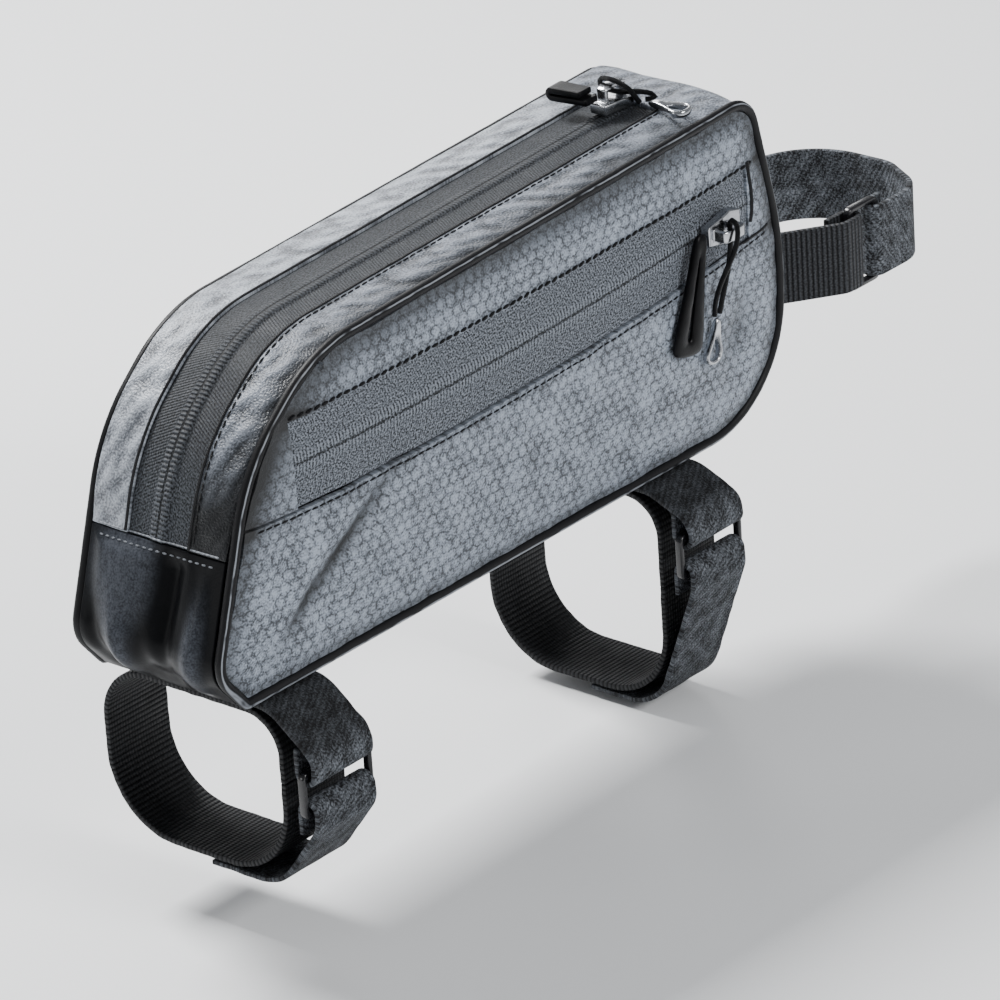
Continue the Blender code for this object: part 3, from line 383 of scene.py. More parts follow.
@dataclass(frozen=True)
class TapeFinish(Finish):
    """Zip tape: herringbone ribs at the sides and two rows of coil ribs in the middle.

    It reads the piece's UV map, in metres along and across the tape.
    """

    tones: tuple[float, float] = (0.56, 1.18)
    rib: float = 0.8 * MM
    coil_half: float = 2.3 * MM
    tooth: float = 1.35 * 0.8 * MM

    def build(self) -> bpy.types.Material:
        """Make the material."""
        made, w, shader = self.start()
        uv, run, across = w.uv()
        off = w.calc("ABSOLUTE", across)
        coil = w.calc("SUBTRACT", 1.0, w.band(off, self.coil_half * 0.92, self.coil_half * 1.06))
        lean = w.calc("MULTIPLY_ADD", off, 0.55, run)
        twill = w.calc("SINE", w.calc("MULTIPLY", lean, 2 * math.pi / self.rib))
        half_step = w.calc("MULTIPLY", w.calc("GREATER_THAN", across, 0.0), math.pi)
        teeth = w.calc("SINE", w.calc("MULTIPLY_ADD", run, 2 * math.pi / self.tooth, half_step))
        groove = w.band(off, 0.1 * MM, 0.5 * MM)
        mixed = w.add("ShaderNodeMix", coil, data_type="FLOAT")
        w.put(mixed.inputs[2], w.calc("MULTIPLY_ADD", twill, 0.16, 0.55))
        w.put(mixed.inputs[3], w.calc("MULTIPLY", w.calc("MULTIPLY_ADD", teeth, 0.5, 0.75), groove))
        height = mixed.outputs[0]
        fleck = w.grain(w.vector("MULTIPLY", uv, (1.0, 1.5, 1.0)), 0.58 * MM, 1.0)
        # The raised coil and ribs are painted lighter than the grooves between them: painted shade in
        # the grooves.
        tone = w.total((fleck, 1.3), (height, 0.34))
        self.close(w, shader, w.band(tone, *self.tones), height, w.grain(uv, 6 * MM))
        return made


@dataclass(frozen=True)
class WebbingFinish(Finish):
    """Ribbed webbing: ribs across the strap, or slanting like a twill. It reads UV in metres."""

    tones: tuple[float, float] = (0.5, 1.25)
    rib: float = 1.3 * MM
    slant: float = 0.0
    yarn: float = 0.9 * MM

    def build(self) -> bpy.types.Material:
        """Make the material."""
        made, w, shader = self.start()
        uv, run, across = w.uv()
        lean = w.calc("MULTIPLY_ADD", across, self.slant, run)
        ribs = w.calc("ABSOLUTE", w.calc("SINE", w.calc("MULTIPLY", lean, math.pi / self.rib)))
        yarns = w.calc("SINE", w.calc("MULTIPLY", across, 2 * math.pi / self.yarn))
        tone = w.total((w.grain(uv, 0.5 * MM, 1.0), 0.9), (ribs, 0.5))
        height = w.calc("MULTIPLY_ADD", yarns, 0.15, ribs)
        self.close(w, shader, w.band(tone, *self.tones), height, w.grain(uv, 5 * MM))
        return made


@dataclass(frozen=True)
class PileFinish(Finish):
    """The fuzzy loop side of a strap, with pale flecks."""

    tones: tuple[float, float] = (0.50, 1.30)
    tuft: float = 0.55 * MM
    rib: float = 1.6 * MM
    slant: float = 0.6

    def build(self) -> bpy.types.Material:
        """Make the material."""
        made, w, shader = self.start()
        uv, run, across = w.uv()
        pile = w.add("ShaderNodeGroup", node_tree=PILE)
        w.put(pile.inputs[0], uv)
        w.put(pile.inputs[1], self.tuft)
        lean = w.calc("MULTIPLY_ADD", across, self.slant, run)
        ribs = w.calc("SINE", w.calc("MULTIPLY", lean, 2 * math.pi / self.rib))
        patches = w.grain(uv, 3.5 * MM, 1.0)
        fine = w.grain(uv, 0.5 * MM, 1.0)
        tone = w.total((fine, 0.9), (pile.outputs[1], 0.22), (patches, 0.55), (ribs, 0.05))
        height = w.calc("MULTIPLY_ADD", ribs, 0.22, pile.outputs[0])
        self.close(w, shader, w.band(tone, *self.tones), height, w.grain(uv, 4 * MM))
        return made


@dataclass(frozen=True)
class PipingFinish(Finish):
    """Black binding with one pale line along it: a painted highlight along the tube's lit side.

    It reads UV in metres, and the pale attribute, a wider painted highlight, which widens the line.
    """

    line_at: float = -2.95 * MM
    drift: float = 0.4 * MM
    line_half: float = 0.17 * MM
    pale_half: float = 0.55 * MM

    def build(self) -> bpy.types.Material:
        """Make the material."""
        made, w, shader = self.start()
        uv, _, across = w.uv()
        waver = w.grain(w.vector("MULTIPLY", uv, (0.35, 1.0, 1.0)), 1.6 * MM, 1.0)
        # The noise makes the painted highlight waver along the binding and break in places.
        centre = w.calc("MULTIPLY_ADD", waver, self.drift, self.line_at)
        off = w.calc("ABSOLUTE", w.calc("SUBTRACT", across, centre))
        pale = w.add("ShaderNodeAttribute", attribute_name="pale").outputs["Fac"]
        half = w.calc("MULTIPLY_ADD", pale, self.pale_half, self.line_half)
        line = w.calc("SUBTRACT", 1.0, w.band(w.calc("DIVIDE", off, half), 0.5, 1.5))
        share = w.calc("MULTIPLY", line, w.band(waver, 0.25, 0.55))
        self.close(w, shader, share, w.grain(uv, 0.5 * MM, 1.0), w.grain(uv, 6 * MM))
        return made


FINISHES = {finish.slot: finish for finish in (
    RipstopFinish(Slot.SIDE, (0.036, 0.041, 0.050), (0.330, 0.378, 0.452), 0.62, 0.00016, sheen=0.1),
    PuckeredFinish(Slot.GUSSET, (0.030, 0.034, 0.041), (0.265, 0.293, 0.342), 0.42, 0.00026,
                   sheen=0.06, specular=0.30),
    PlainClothFinish(Slot.COATED, (0.020, 0.022, 0.027), (0.070, 0.077, 0.092), 0.34, 0.00010,
                     depth=0.30, specular=0.08),
    TapeFinish(Slot.TAPE, (0.004, 0.005, 0.006), (0.222, 0.246, 0.286), 0.66, 0.00024,
               specular=0.25),
    PipingFinish(Slot.PIPING, (0.003, 0.003, 0.004), (0.230, 0.248, 0.276), 0.50, 0.00005,
                 specular=0.22),
    WebbingFinish(Slot.WEBBING, (0.001, 0.001, 0.002), (0.045, 0.049, 0.056), 0.62, 0.00028,
                  specular=0.25),
    PileFinish(Slot.LOOP, (0.002, 0.002, 0.003), (0.225, 0.247, 0.280), 0.80, 0.00030, specular=0.3),
    Finish(Slot.PLASTIC, (0.004, 0.004, 0.005), (0.010, 0.010, 0.012), 0.24, 0.00002),
    Finish(Slot.RUBBER, (0.0010, 0.0010, 0.0013), (0.003, 0.003, 0.004), 0.36, 0.00004, specular=0.14),
    Finish(Slot.METAL, (0.34, 0.35, 0.37), (0.52, 0.53, 0.55), 0.20, 0.00001, metallic=1.0),
    WebbingFinish(Slot.CORD, (0.001, 0.001, 0.002), (0.010, 0.011, 0.013), 0.50, 0.00010,
                  specular=0.25, rib=0.55 * MM, slant=1.0),
)}


# Pale thread for the nose patch's stitches; the same finish paints the highlight on the folded edge
# over the nose seam.
PALE_THREAD_AND_HIGHLIGHT = WebbingFinish(Slot.GUSSET, (0.120, 0.132, 0.152), (0.320, 0.345, 0.385), 0.60, 0.00005,
                            name="pale_thread_and_highlight")
# Painted light: a lighter copy of the gusset finish for the left strip, which catches more light.
PAINTED_LIGHT_STRIP = PuckeredFinish(Slot.GUSSET, (0.075, 0.082, 0.096), (0.430, 0.465, 0.520), 0.42, 0.00022,
                            sheen=0.10, specular=0.40, name="painted_light_gusset_finish")


def finish_of(slot: Slot, finish: Finish | None = None) -> bpy.types.Material:
    """The material of a slot, or of one finish, made when it is first asked for."""
    wanted = finish or FINISHES[slot]
    made = bpy.data.materials.get(wanted.title)
    return made if made else wanted.build()


def ease(value: float) -> float:
    """Ease from 0 to 1 over the range 0 to 1."""
    value = min(max(value, 0.0), 1.0)
    return value * value * (3 - 2 * value)


def lerp(first: float, last: float, share: float) -> float:
    """The value at a share of the way from first to last."""
    return first + (last - first) * share


def bell(off: float, width: float) -> float:
    """1 on a line, falling to nearly 0 at twice the width from it."""
    return math.exp(-(off / width) ** 2)


def ripple(x: float, z: float, wide: float, tall: float, seed: float) -> float:
    """Noise from -1 to 1 whose waves are about this wide and tall."""
    return noise.noise(Vector((x / wide, z / tall, seed)))


def arc(before: Vector, corner: Vector, after: Vector, radius: float, pieces: int) -> list[Vector]:
    """Points of an arc that rounds the corner between two straight runs."""
    back, ahead = (before - corner).normalized(), (after - corner).normalized()
    half = back.angle(ahead) / 2
    if radius <= 0 or abs(math.pi / 2 - half) < 1e-4:
        return [corner.copy()]
    centre = corner + (back + ahead).normalized() * (radius / math.sin(half))
    first = corner + back * (radius / math.tan(half)) - centre
    last = corner + ahead * (radius / math.tan(half)) - centre
    sweep = first.angle(last)
    points = []
    for step in range(pieces + 1):
        share = step / pieces
        points.append(centre + first * (math.sin((1 - share) * sweep) / math.sin(sweep))
                      + last * (math.sin(share * sweep) / math.sin(sweep)))
    return points


class Polyline:
    """A line of points in a plane that is read by its length."""

    def __init__(self, points: Sequence[Vector]) -> None:
        """Keep the points and how far along each one is."""
        self.points = list(points)
        self.gone = [0.0]
        for first, last in zip(self.points, self.points[1:]):
            self.gone.append(self.gone[-1] + (last - first).length)
        self.length = self.gone[-1]

    def at(self, distance: float) -> Vector:
        """The point at a distance along the line."""
        distance = min(max(distance, 0.0), self.length)
        low, high = 0, len(self.gone) - 1
        while high - low > 1:
            middle = (low + high) // 2
            if self.gone[middle] <= distance:
                low = middle
            else:
                high = middle
        run = self.gone[high] - self.gone[low]
        return self.points[low].lerp(self.points[high], (distance - self.gone[low]) / max(run, 1e-9))

    def share(self, part: float) -> Vector:
        """The point at a share of the line's length."""
        return self.at(part * self.length)


def rounded_route(rows: Sequence[tuple[float, float, float]]) -> Polyline:
    """A line through rows of (u, v, radius) with its corners rounded."""
    knots = [Vector((u, v)) for u, v, _ in rows]
    points = [knots[0]]
    for place in range(1, len(rows) - 1):
        points += arc(*knots[place - 1:place + 2], rows[place][2], 14)
    return Polyline(points + [knots[-1]])


@dataclass(frozen=True)
class Fold:
    """A soft ridge or valley, in shares of the cloth it is on; depth is a share of the crown."""

    x: float
    z: float
    turn: float
    length: float
    width: float
    depth: float

    def at(self, x: float, z: float, wide: float = 1.0, tall: float = 1.0) -> float:
        """The fold's height at a place of a cloth this wide and tall."""
        turn = math.radians(self.turn)
        dx, dz = x - self.x * wide, z - self.z * tall
        run = dx * math.cos(turn) + dz * math.sin(turn)
        off = -dx * math.sin(turn) + dz * math.cos(turn)
        return self.depth * bell(off, self.width * tall) * bell(run, 0.5 * self.length * wide)


@dataclass(frozen=True)
class Outline:
    """The bag's side outline and the lines on it, as shares of its length and height.

    A corner is its place and its radius. A line is its height at the rear and at the front, and
    how far it sags between them.
    """

    length: float = 207.6 * MM
    height: float = 83.5 * MM
    width: float = 45.0 * MM
    rear_strap: float = 0.112
    front_strap: float = 0.768
    corners: tuple[tuple[float, float, float], ...] = (
        (0.042, 0.000, 0.030), (0.000, 0.126, 0.108), (0.071, 0.670, 0.540), (0.187, 0.910, 0.480),
        (0.955, 1.000, 0.108), (1.000, 0.540, 1.000), (0.994, 0.000, 0.360))
    seam_line: tuple[float, float, float] = (0.515, 0.597, 0.050)
    stitch_line: tuple[float, float, float] = (0.752, 0.800, 0.018)
    side_crown: float = 2.6 * MM
    gusset_crown: float = 1.0 * MM
    piping_radius: float = 1.3 * MM
    piping_inset: float = 0.65 * CLOTH
    folds: tuple[Fold, ...] = (
        Fold(0.205, 0.33, 35, 0.19, 0.026, -0.50), Fold(0.165, 0.37, 38, 0.14, 0.045, 0.40),
        Fold(0.255, 0.29, 32, 0.13, 0.050, 0.34), Fold(0.135, 0.21, 50, 0.10, 0.020, -0.24),
        Fold(0.50, 0.34, 88, 0.09, 0.035, 0.20), Fold(0.62, 0.42, 86, 0.08, 0.035, 0.18),
        Fold(0.38, 0.20, 84, 0.08, 0.045, 0.16), Fold(0.90, 0.33, 60, 0.10, 0.050, -0.24))

    @property
    def rear(self) -> float:
        """X of the rearmost point: the origin is midway between the straps."""
        return -(self.rear_strap + self.front_strap) / 2 * self.length

    @property
    def half(self) -> float:
        """Half of the bag's width."""
        return self.width / 2

    @property
    def edge_inset(self) -> float:
        """How far inside the outline the side cloth and the gusset stop."""
        return self.piping_inset + self.piping_radius + HAIR

    @property
    def gusset_edge(self) -> float:
        """Y of the gusset's edge."""
        return self.half - self.edge_inset

    def along(self, share: float) -> float:
        """X of a share of the length."""
        return self.rear + share * self.length

    def sag(self, x: float, rear: float, front: float, depth: float) -> float:
        """Height at x of a line that sags between two shares of the height."""
        t = (x - self.rear) / self.length
        return (lerp(rear, front, t) - depth * 4 * t * (1 - t)) * self.height

    def seam(self, x: float) -> float:
        """Height of the long seam under the pocket zip."""
        return self.sag(x, *self.seam_line)

    def stitch(self, x: float) -> float:
        """Height of the stitched edge over the pocket zip."""
        return self.sag(x, *self.stitch_line)

    def creases(self, x: float, z: float) -> list[float]:
        """The height of each fold at a place of the side, as a share of the crown."""
        return [fold.at(x - self.rear, z, self.length, self.height) for fold in self.folds]

    def crown(self, x: float, z: float) -> float:
        """How far the side cloth stands out of its plane."""
        u = min(max((x - self.rear) / self.length, 0.0), 1.0)
        top = lerp(self.corners[Corner.SHOULDER][1], self.corners[Corner.FRONT_TOP][1], u)
        v = min(max(z / (top * self.height), 0.0), 1.0)
        dome = (1 - abs(2 * u - 1) ** 3.0) * (1 - abs(2 * v - 1) ** 2.4)
        return self.side_crown * (dome + sum(self.creases(x, z)) * min(1.0, 3 * dome))


class Rim:
    """The closed outline as a line that is read by length, from the heel up the rear."""

    def __init__(self, outline: Outline) -> None:
        """Work out the points and where each corner's arc starts and ends."""
        self.outline = outline
        knots = [Vector((outline.along(x), z * outline.height)) for x, z, _ in outline.corners]
        count = len(knots)
        points: list[Vector] = []
        marks: list[tuple[int, int]] = []
        for place, (_, _, radius) in enumerate(outline.corners):
            round_off = arc(knots[place - 1], knots[place], knots[(place + 1) % count],
                            radius * outline.height, 24)
            marks.append((len(points), len(points) + len(round_off) - 1))
            points += round_off
        self.line = Polyline(points + [points[0]])
        self.total = self.line.length
        self.starts = [self.line.gone[a] for a, _ in marks]
        self.ends = [self.line.gone[b] for _, b in marks]
        self.middles = [(a + b) / 2 for a, b in zip(self.starts, self.ends)]

    def out(self, s: float) -> Vector:
        """The outward direction at a distance along the rim."""
        step = 0.6 * MM
        way = self.line.at((s + step) % self.total) - self.line.at((s - step) % self.total)
        way.normalize()
        return Vector((-way.y, way.x))

    def at(self, s: float, inset: float = 0.0) -> Vector:
        """The rim's point at a distance, moved inwards by the inset."""
        return self.line.at(s % self.total) - self.out(s) * inset

    def crossing(self, test: Callable[[Vector], bool], first: float, last: float) -> float:
        """The distance between two places where a test on the rim's point turns true."""
        for _ in range(40):
            middle = (first + last) / 2
            if test(self.line.at(middle % self.total)):
                last = middle
            else:
                first = middle
        return last

    def outside(self, s: float, y: float) -> tuple[Vector, Vector]:
        """A point clear of the gusset at a distance along the rim, and the way in to it."""
        out = self.out(s)
        point = self.at(s) + out * (6 * MM)
        return Vector((point.x, y, point.y)), Vector((-out.x, 0, -out.y))

    def gusset(self, s: float, y: float, sunk: float = 0.0) -> Vector:
        """A point of the gusset's outer face."""
        base = self.at(s, sunk)
        up = ease(base.y / (0.18 * self.outline.height))
        rise = self.outline.gusset_crown * up * (1 - (y / self.outline.half) ** 2)
        point = base + self.out(s) * rise
        return Vector((point.x, y, point.y))


def solo(piece: bpy.types.Object) -> bpy.types.Object:
    """Select one piece alone and make it active."""
    bpy.ops.object.select_all(action="DESELECT")
    piece.select_set(True)
    bpy.context.view_layer.objects.active = piece
    return piece


def apply_modifier(piece: bpy.types.Object, kind: str, **settings: object) -> None:
    """Give a piece a modifier with these settings and apply it."""
    solo(piece)
    modifier = piece.modifiers.new(kind.lower(), kind)
    for key, value in settings.items():
        setattr(modifier, key, value)
    bpy.ops.object.modifier_apply(modifier=modifier.name)


def shaped_grid(name: str, columns: int, rows: int, place: Place,
                size: tuple[float, float] = (1.0, 1.0)) -> bpy.types.Object:
    """A grid whose points are moved in code to the shape of a cloth.

    Args:
        name: the piece's name.
        columns: squares along the first direction.
        rows: squares along the second direction.
        place: gives the point for two shares from 0 to 1.
        size: the cloth's real size along both, for its UV map in metres, centred across.

    Returns:
        The piece, an open sheet.
    """
    bpy.ops.object.select_all(action="DESELECT")
    bpy.ops.mesh.primitive_grid_add(x_subdivisions=columns, y_subdivisions=rows, size=1.0,
                                    location=(0.0, 0.0, 0.0))
    piece = bpy.context.active_object
    piece.name = piece.data.name = name
    shares = [(v.co.x + 0.5, v.co.y + 0.5) for v in piece.data.vertices]
    layer = piece.data.uv_layers.active.data
    for loop in piece.data.loops:
        u, v = shares[loop.vertex_index]
        layer[loop.index].uv = (u * size[0], (v - 0.5) * size[1])
    for vertex, (u, v) in zip(piece.data.vertices, shares):
        vertex.co = place(u, v)
    return piece


def give_wall(piece: bpy.types.Object, wall: float, offset: float = -1.0,
              rounding: float = 0.25 * MM, even: bool = True) -> None:
    """Turn a sheet into a closed wall with rounded edges.

    Args:
        piece: the open sheet.
        wall: the wall's thickness.
        offset: -1 to grow inwards from the sheet, 0 to both sides.
        rounding: how far the edges are rounded off.
        even: keep the thickness at bends, which a sheet with a cut corner can't take.
    """
    apply_modifier(piece, "SOLIDIFY", thickness=wall, offset=offset, use_even_offset=even)
    if rounding:
        apply_modifier(piece, "BEVEL", width=rounding, segments=2, limit_method="ANGLE",
                       angle_limit=math.radians(55))


def dress(piece: bpy.types.Object, slot: Slot, *nodes: str, smooth: float = 40.0,
          finish: Finish | None = None) -> bpy.types.Object:
    """Finish a piece: shading, material, body, slot and the solids it stands for."""
    solo(piece)
    bpy.ops.object.shade_smooth_by_angle(angle=math.radians(smooth))
    piece.data.materials.clear()
    piece.data.materials.append(finish_of(slot, finish))
    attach(piece, "root")
    if nodes:
        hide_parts(*nodes)
    LOG.info("%s: %d faces", piece.name, len(piece.data.polygons))
    return piece


def shade(piece: bpy.types.Object, name: str, rule: Callable[[Vector], float]) -> None:
    """Write a value from 0 to 1 at each point of a piece, which its material reads by name."""
    layer = piece.data.attributes.new(name, "FLOAT", "POINT")
    for vertex, value in zip(piece.data.vertices, layer.data):
        value.value = min(max(rule(vertex.co), 0.0), 1.0)


def copy_of(node: str, name: str) -> bpy.types.Object:
    """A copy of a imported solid's mesh with its doubles merged and its faces joined to quads."""
    piece = bpy.data.objects.new(name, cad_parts[node].data.copy())
    piece.data.name = name
    bpy.context.scene.collection.objects.link(piece)
    solo(piece)
    bpy.ops.object.mode_set(mode="EDIT")
    bpy.ops.mesh.select_all(action="SELECT")
    bpy.ops.mesh.remove_doubles(threshold=1e-6)
    bpy.ops.mesh.tris_convert_to_quads()
    bpy.ops.object.mode_set(mode="OBJECT")
    return piece


def tube(name: str, points: Sequence[Vector], radius: float, sides: int = 8) -> bpy.types.Object:
    """A round tube along a line of points, closed at its ends.

    Args:
        name: the piece's name.
        points: the line, from end to end.
        radius: the tube's radius.
        sides: how many faces go round it.

    Returns:
        The piece.
    """
    frames = []
    side = Vector((0, 0, 1)).cross(points[1] - points[0])
    side = side if side.length > 1e-9 else Vector((0, 1, 0))
    for k in range(len(points)):
        way = (points[min(k + 1, len(points) - 1)] - points[max(k - 1, 0)]).normalized()
        side = (side - way * side.dot(way)).normalized()
        frames.append((points[k], side, way.cross(side)))

    def place(u: float, v: float) -> Vector:
        middle, first, second = frames[round(u * (len(points) - 1))]
        turn = 2 * math.pi * v
        return middle + (first * math.cos(turn) + second * math.sin(turn)) * radius

    length = sum((b - a).length for a, b in zip(points, points[1:]))
    piece = shaped_grid(name, len(points) - 1, sides, place, (length, 2 * math.pi * radius))
    close_seams(piece)
    return piece


def close_seams(piece: bpy.types.Object) -> None:
    """Merge the doubles of a rolled grid, fill its open ends and turn its faces out."""
    solo(piece)
    bpy.ops.object.mode_set(mode="EDIT")
    bpy.ops.mesh.select_all(action="SELECT")
    bpy.ops.mesh.remove_doubles(threshold=1e-6)
    bpy.ops.mesh.fill_holes(sides=0)
    bpy.ops.mesh.select_all(action="SELECT")
    bpy.ops.mesh.normals_make_consistent(inside=False)
    bpy.ops.object.mode_set(mode="OBJECT")


class Surface:
    """The finished faces of some pieces, for laying threads on them."""

    def __init__(self, pieces: Iterable[bpy.types.Object]) -> None:
        """Gather the faces of the pieces."""
        points: list[Vector] = []
        faces: list[tuple[int, ...]] = []
        for piece in pieces:
            base = len(points)
            points += [v.co.copy() for v in piece.data.vertices]
            faces += [tuple(base + k for k in face.vertices) for face in piece.data.polygons]
        self.tree = BVHTree.FromPolygons(points, faces)

    def hit(self, start: Vector, way: Vector) -> tuple[Vector, Vector] | None:
        """Where a ray first meets the faces, with the face's normal."""
        point, normal, _, _ = self.tree.ray_cast(start, way, 20 * MM)
        return None if point is None else (point, normal)


@dataclass(frozen=True)
class ThreadRow:
    """Rows of stitches: one thread is modelled and copied to each place, each at its own lean."""

    length: float
    radius: float
    pitch: float
    lean: float

    def line(self, name: str, places: Sequence[tuple[Vector, Vector]], surface: Surface,
             radius: float, slot: Slot = Slot.CORD, finish: Finish | None = None) -> None:
        """Lay one unbroken cord along a line, half sunk in the surface."""
        found = [surface.hit(start, way) for start, way in places]
        points = [hit[0] for hit in found if hit]
        if len(points) > 2:
            dress(tube(name, points, radius), slot, smooth=80.0, finish=finish)

    def lay(self, name: str, places: Sequence[tuple[Vector, Vector]], surface: Surface,
            slot: Slot, finish: Finish | None = None) -> None:
        """Sew stitches along a line and join them; none are made where the line misses.

        Args:
            name: the piece's name.
            places: points off the surface, a little outside it, and the way in to it.
            surface: what the thread lies on.
            slot: the slot of the thread.
            finish: its finish, where it isn't the slot's own.
        """
        bpy.ops.object.select_all(action="DESELECT")
        bpy.ops.mesh.primitive_uv_sphere_add(segments=8, ring_count=6, radius=1.0, location=(0, 0, 0))
        thread = bpy.context.active_object
        thread.data.transform(Matrix.Diagonal((self.length / 2, self.radius, self.radius * 0.8, 1.0)))
        found = [surface.hit(start, way) for start, way in places]
        copies = []
        uneven = random.Random(name)
        for before, here, after in zip(found, found[1:], found[2:]):
            if not (before and here and after):
                continue
            along = (after[0] - before[0]).normalized()
            out = here[1].normalized()
            side = out.cross(along).normalized()
            turn = (Matrix((along, side, along.cross(side))).transposed().to_4x4()
                    @ Matrix.Rotation(math.radians(self.lean * uneven.uniform(0.2, 1.6)), 4, "Z"))
            copy = bpy.data.objects.new(name, thread.data.copy())
            centre = here[0] + out * (self.radius * 0.25)
            copy.data.transform(Matrix.Translation(centre) @ turn)
            bpy.context.scene.collection.objects.link(copy)
            copies.append(copy)
        bpy.data.objects.remove(thread, do_unlink=True)
        if not copies:
            return
        bpy.ops.object.select_all(action="DESELECT")
        for copy in copies:
            copy.select_set(True)
        bpy.context.view_layer.objects.active = copies[0]
        bpy.ops.object.join()
        row = bpy.context.active_object
        row.name = row.data.name = name
        dress(row, slot, smooth=60.0, finish=finish)


@dataclass
class SidePanels:
    """The cloth of both sides, with the pocket's window on the right."""

    outline: Outline
    rim: Rim
    pocket_rear: float = 0.137
    pocket_front: float = 0.932
    pucker: float = 0.20 * MM
    slow: float = 0.16 * MM
    slant: float = 0.85 * MM
    crumple: float = 0.16 * MM
    valley: float = 0.95 * MM
    valley_width: float = 3.2 * MM
    valley_shade: float = 2.0
    made: dict[str, bpy.types.Object] = field(default_factory=dict)

    def __post_init__(self) -> None:
        """Gather the rim's points for measuring how far inside it a place is."""
        count = round(self.rim.total / (1 * MM))
        self.near = KDTree(count)
        for k in range(count):
            point = self.rim.at(k * self.rim.total / count, self.outline.edge_inset)
            self.near.insert((point.x, point.y, 0.0), k)
        self.near.balance()

    def span(self, first: float, last: float) -> Callable[[float], Vector]:
        """The rim's edge of a panel between two distances, read by share."""
        inset = self.outline.edge_inset
        return lambda t: self.rim.at(lerp(first, last, t), inset)

    def relief(self, x: float, z: float) -> float:
        """Small puckers along the seams and slow unevenness, beyond the main folds."""
        outline = self.outline
        near_seam, near_stitch = bell(z - outline.seam(x), 5 * MM), bell(z - outline.stitch(x), 4 * MM)
        tug = ripple(x, z, 5 * MM, 16 * MM, 3.0)
        slow = ripple(x, z, 22 * MM, 15 * MM, 7.0)
        low = ease(1.2 - z / (0.5 * outline.height))
        rear = ease(1.0 - (x - outline.rear) / (0.5 * outline.length))
        slant = ripple(x + 1.1 * z, z - 0.9 * x, 26 * MM, 6.5 * MM, 11.0)
        crumple = ripple(x, z, 7 * MM, 9 * MM, 41.0) + 0.5 * ripple(x, z, 3.2 * MM, 4.5 * MM, 43.0)
        beside = bell(self.near.find((x, z, 0.0))[2], self.valley_width)
        drawn = ripple(x, z, 6 * MM, 6 * MM, 17.0)
        return (self.pucker * (near_seam + 0.8 * near_stitch) * tug + self.slow * slow
                + self.slant * slant * low * (0.25 + 0.75 * rear) * (1 - beside)
                + self.crumple * crumple * (1 - beside)
                - self.valley * beside * (0.85 + 0.5 * drawn))

    def painted_shade(self, point: Vector) -> float:
        """Painted shade: the cloth is painted darkest where it goes in under the piping, most of all at
        the top, with painted shadow along the seam, under the stitched edge, at the upper rear and in
        the folds' valleys.
        """
        x, z, outline = point.x, point.z, self.outline
        up = z / outline.height
        back = 1 - ease((x - outline.rear) / (0.45 * outline.length))
        ragged = 0.5 + 0.5 * ripple(x + 0.3 * z, z, 1.4 * MM, 5 * MM, 31.0)
        reach = (2.2 + 3.0 * up + 3.5 * back * up) * MM * (0.7 + 0.6 * ragged)
        beside = bell(self.near.find((x, z, 0.0))[2], reach) * (0.62 + 0.22 * up)
        seam = 0.30 * bell(z - outline.seam(x) + 1 * MM, 2.2 * MM)
        edge = 0.55 * bell(z - outline.stitch(x) - 0.4 * MM, 1.3 * MM)
        rear = 0.35 * back * bell(up - 0.62, 0.16)
        # Painted shade in the valleys of the folds.
        valleys = -self.valley_shade * sum(min(height, 0.0) for height in outline.creases(x, z))
        return beside + (seam + edge) * (0.4 + 0.9 * ragged) + rear + valleys

    def skin(self, side: Side, x: float, z: float) -> Vector:
        """A point of the side's outer face."""
        out = self.outline.half + self.outline.crown(x, z) + self.relief(x, z)
        return Vector((x, side.value * out, z))

    def patch(self, side: Side, bottom: Callable[[float], Vector], top: Callable[[float], Vector],
              rear: Callable[[float], Vector], front: Callable[[float], Vector]) -> Place:
        """A cloth between four edges that share their corners."""
        a, b, c, d = bottom(0.0), bottom(1.0), top(0.0), top(1.0)

        def place(u: float, v: float) -> Vector:
            if side is Side.LEFT:
                u = 1.0 - u
            flat = (bottom(u).lerp(top(u), v) + rear(v).lerp(front(v), u)
                    - a.lerp(b, u).lerp(c.lerp(d, u), v))
            return self.skin(side, flat.x, flat.y)

        return place

    def crossings(self, height: Callable[[float], float]) -> tuple[float, float]:
        """Where a line meets the rim at the rear and at the front."""
        starts, ends = self.rim.starts, self.rim.ends
        rear = self.rim.crossing(lambda p: p.y > height(p.x), ends[Corner.HEEL], ends[Corner.SHOULDER])
        front = self.rim.crossing(lambda p: p.y < height(p.x), starts[Corner.FRONT_TOP],
                                  ends[Corner.TOE])
        return rear, front

    def build(self) -> None:
        """Make the three panels."""
        rim, outline = self.rim, self.outline
        heel, toe = rim.middles[Corner.HEEL], rim.middles[Corner.TOE]
        shoulder, front_top = rim.middles[Corner.SHOULDER], rim.middles[Corner.FRONT_TOP]
        base = self.span(rim.total + heel, toe)
        place = self.patch(Side.LEFT, base, self.span(shoulder, front_top),
                           self.span(heel, shoulder), self.span(toe, front_top))
        self.finish("left_side_cloth", 150, 62, place, "side_panel_left")

        def under(x: float) -> float:
            return outline.seam(x) - HAIR

        rear_s, front_s = self.crossings(under)
        rear, front = self.span(heel, rear_s), self.span(toe, front_s)
        ends = (rear(1.0), front(1.0))

        def seam_line(t: float) -> Vector:
            x = lerp(ends[0].x, ends[1].x, t)
            slack = lerp(ends[0].y - under(ends[0].x), ends[1].y - under(ends[1].x), t)
            return Vector((x, under(x) + slack))

        place = self.patch(Side.RIGHT, base, seam_line, rear, front)
        self.finish("right_lower_cloth", 160, 46, place, "side_panel_right_lower")
        self.build_upper(shoulder, front_top)

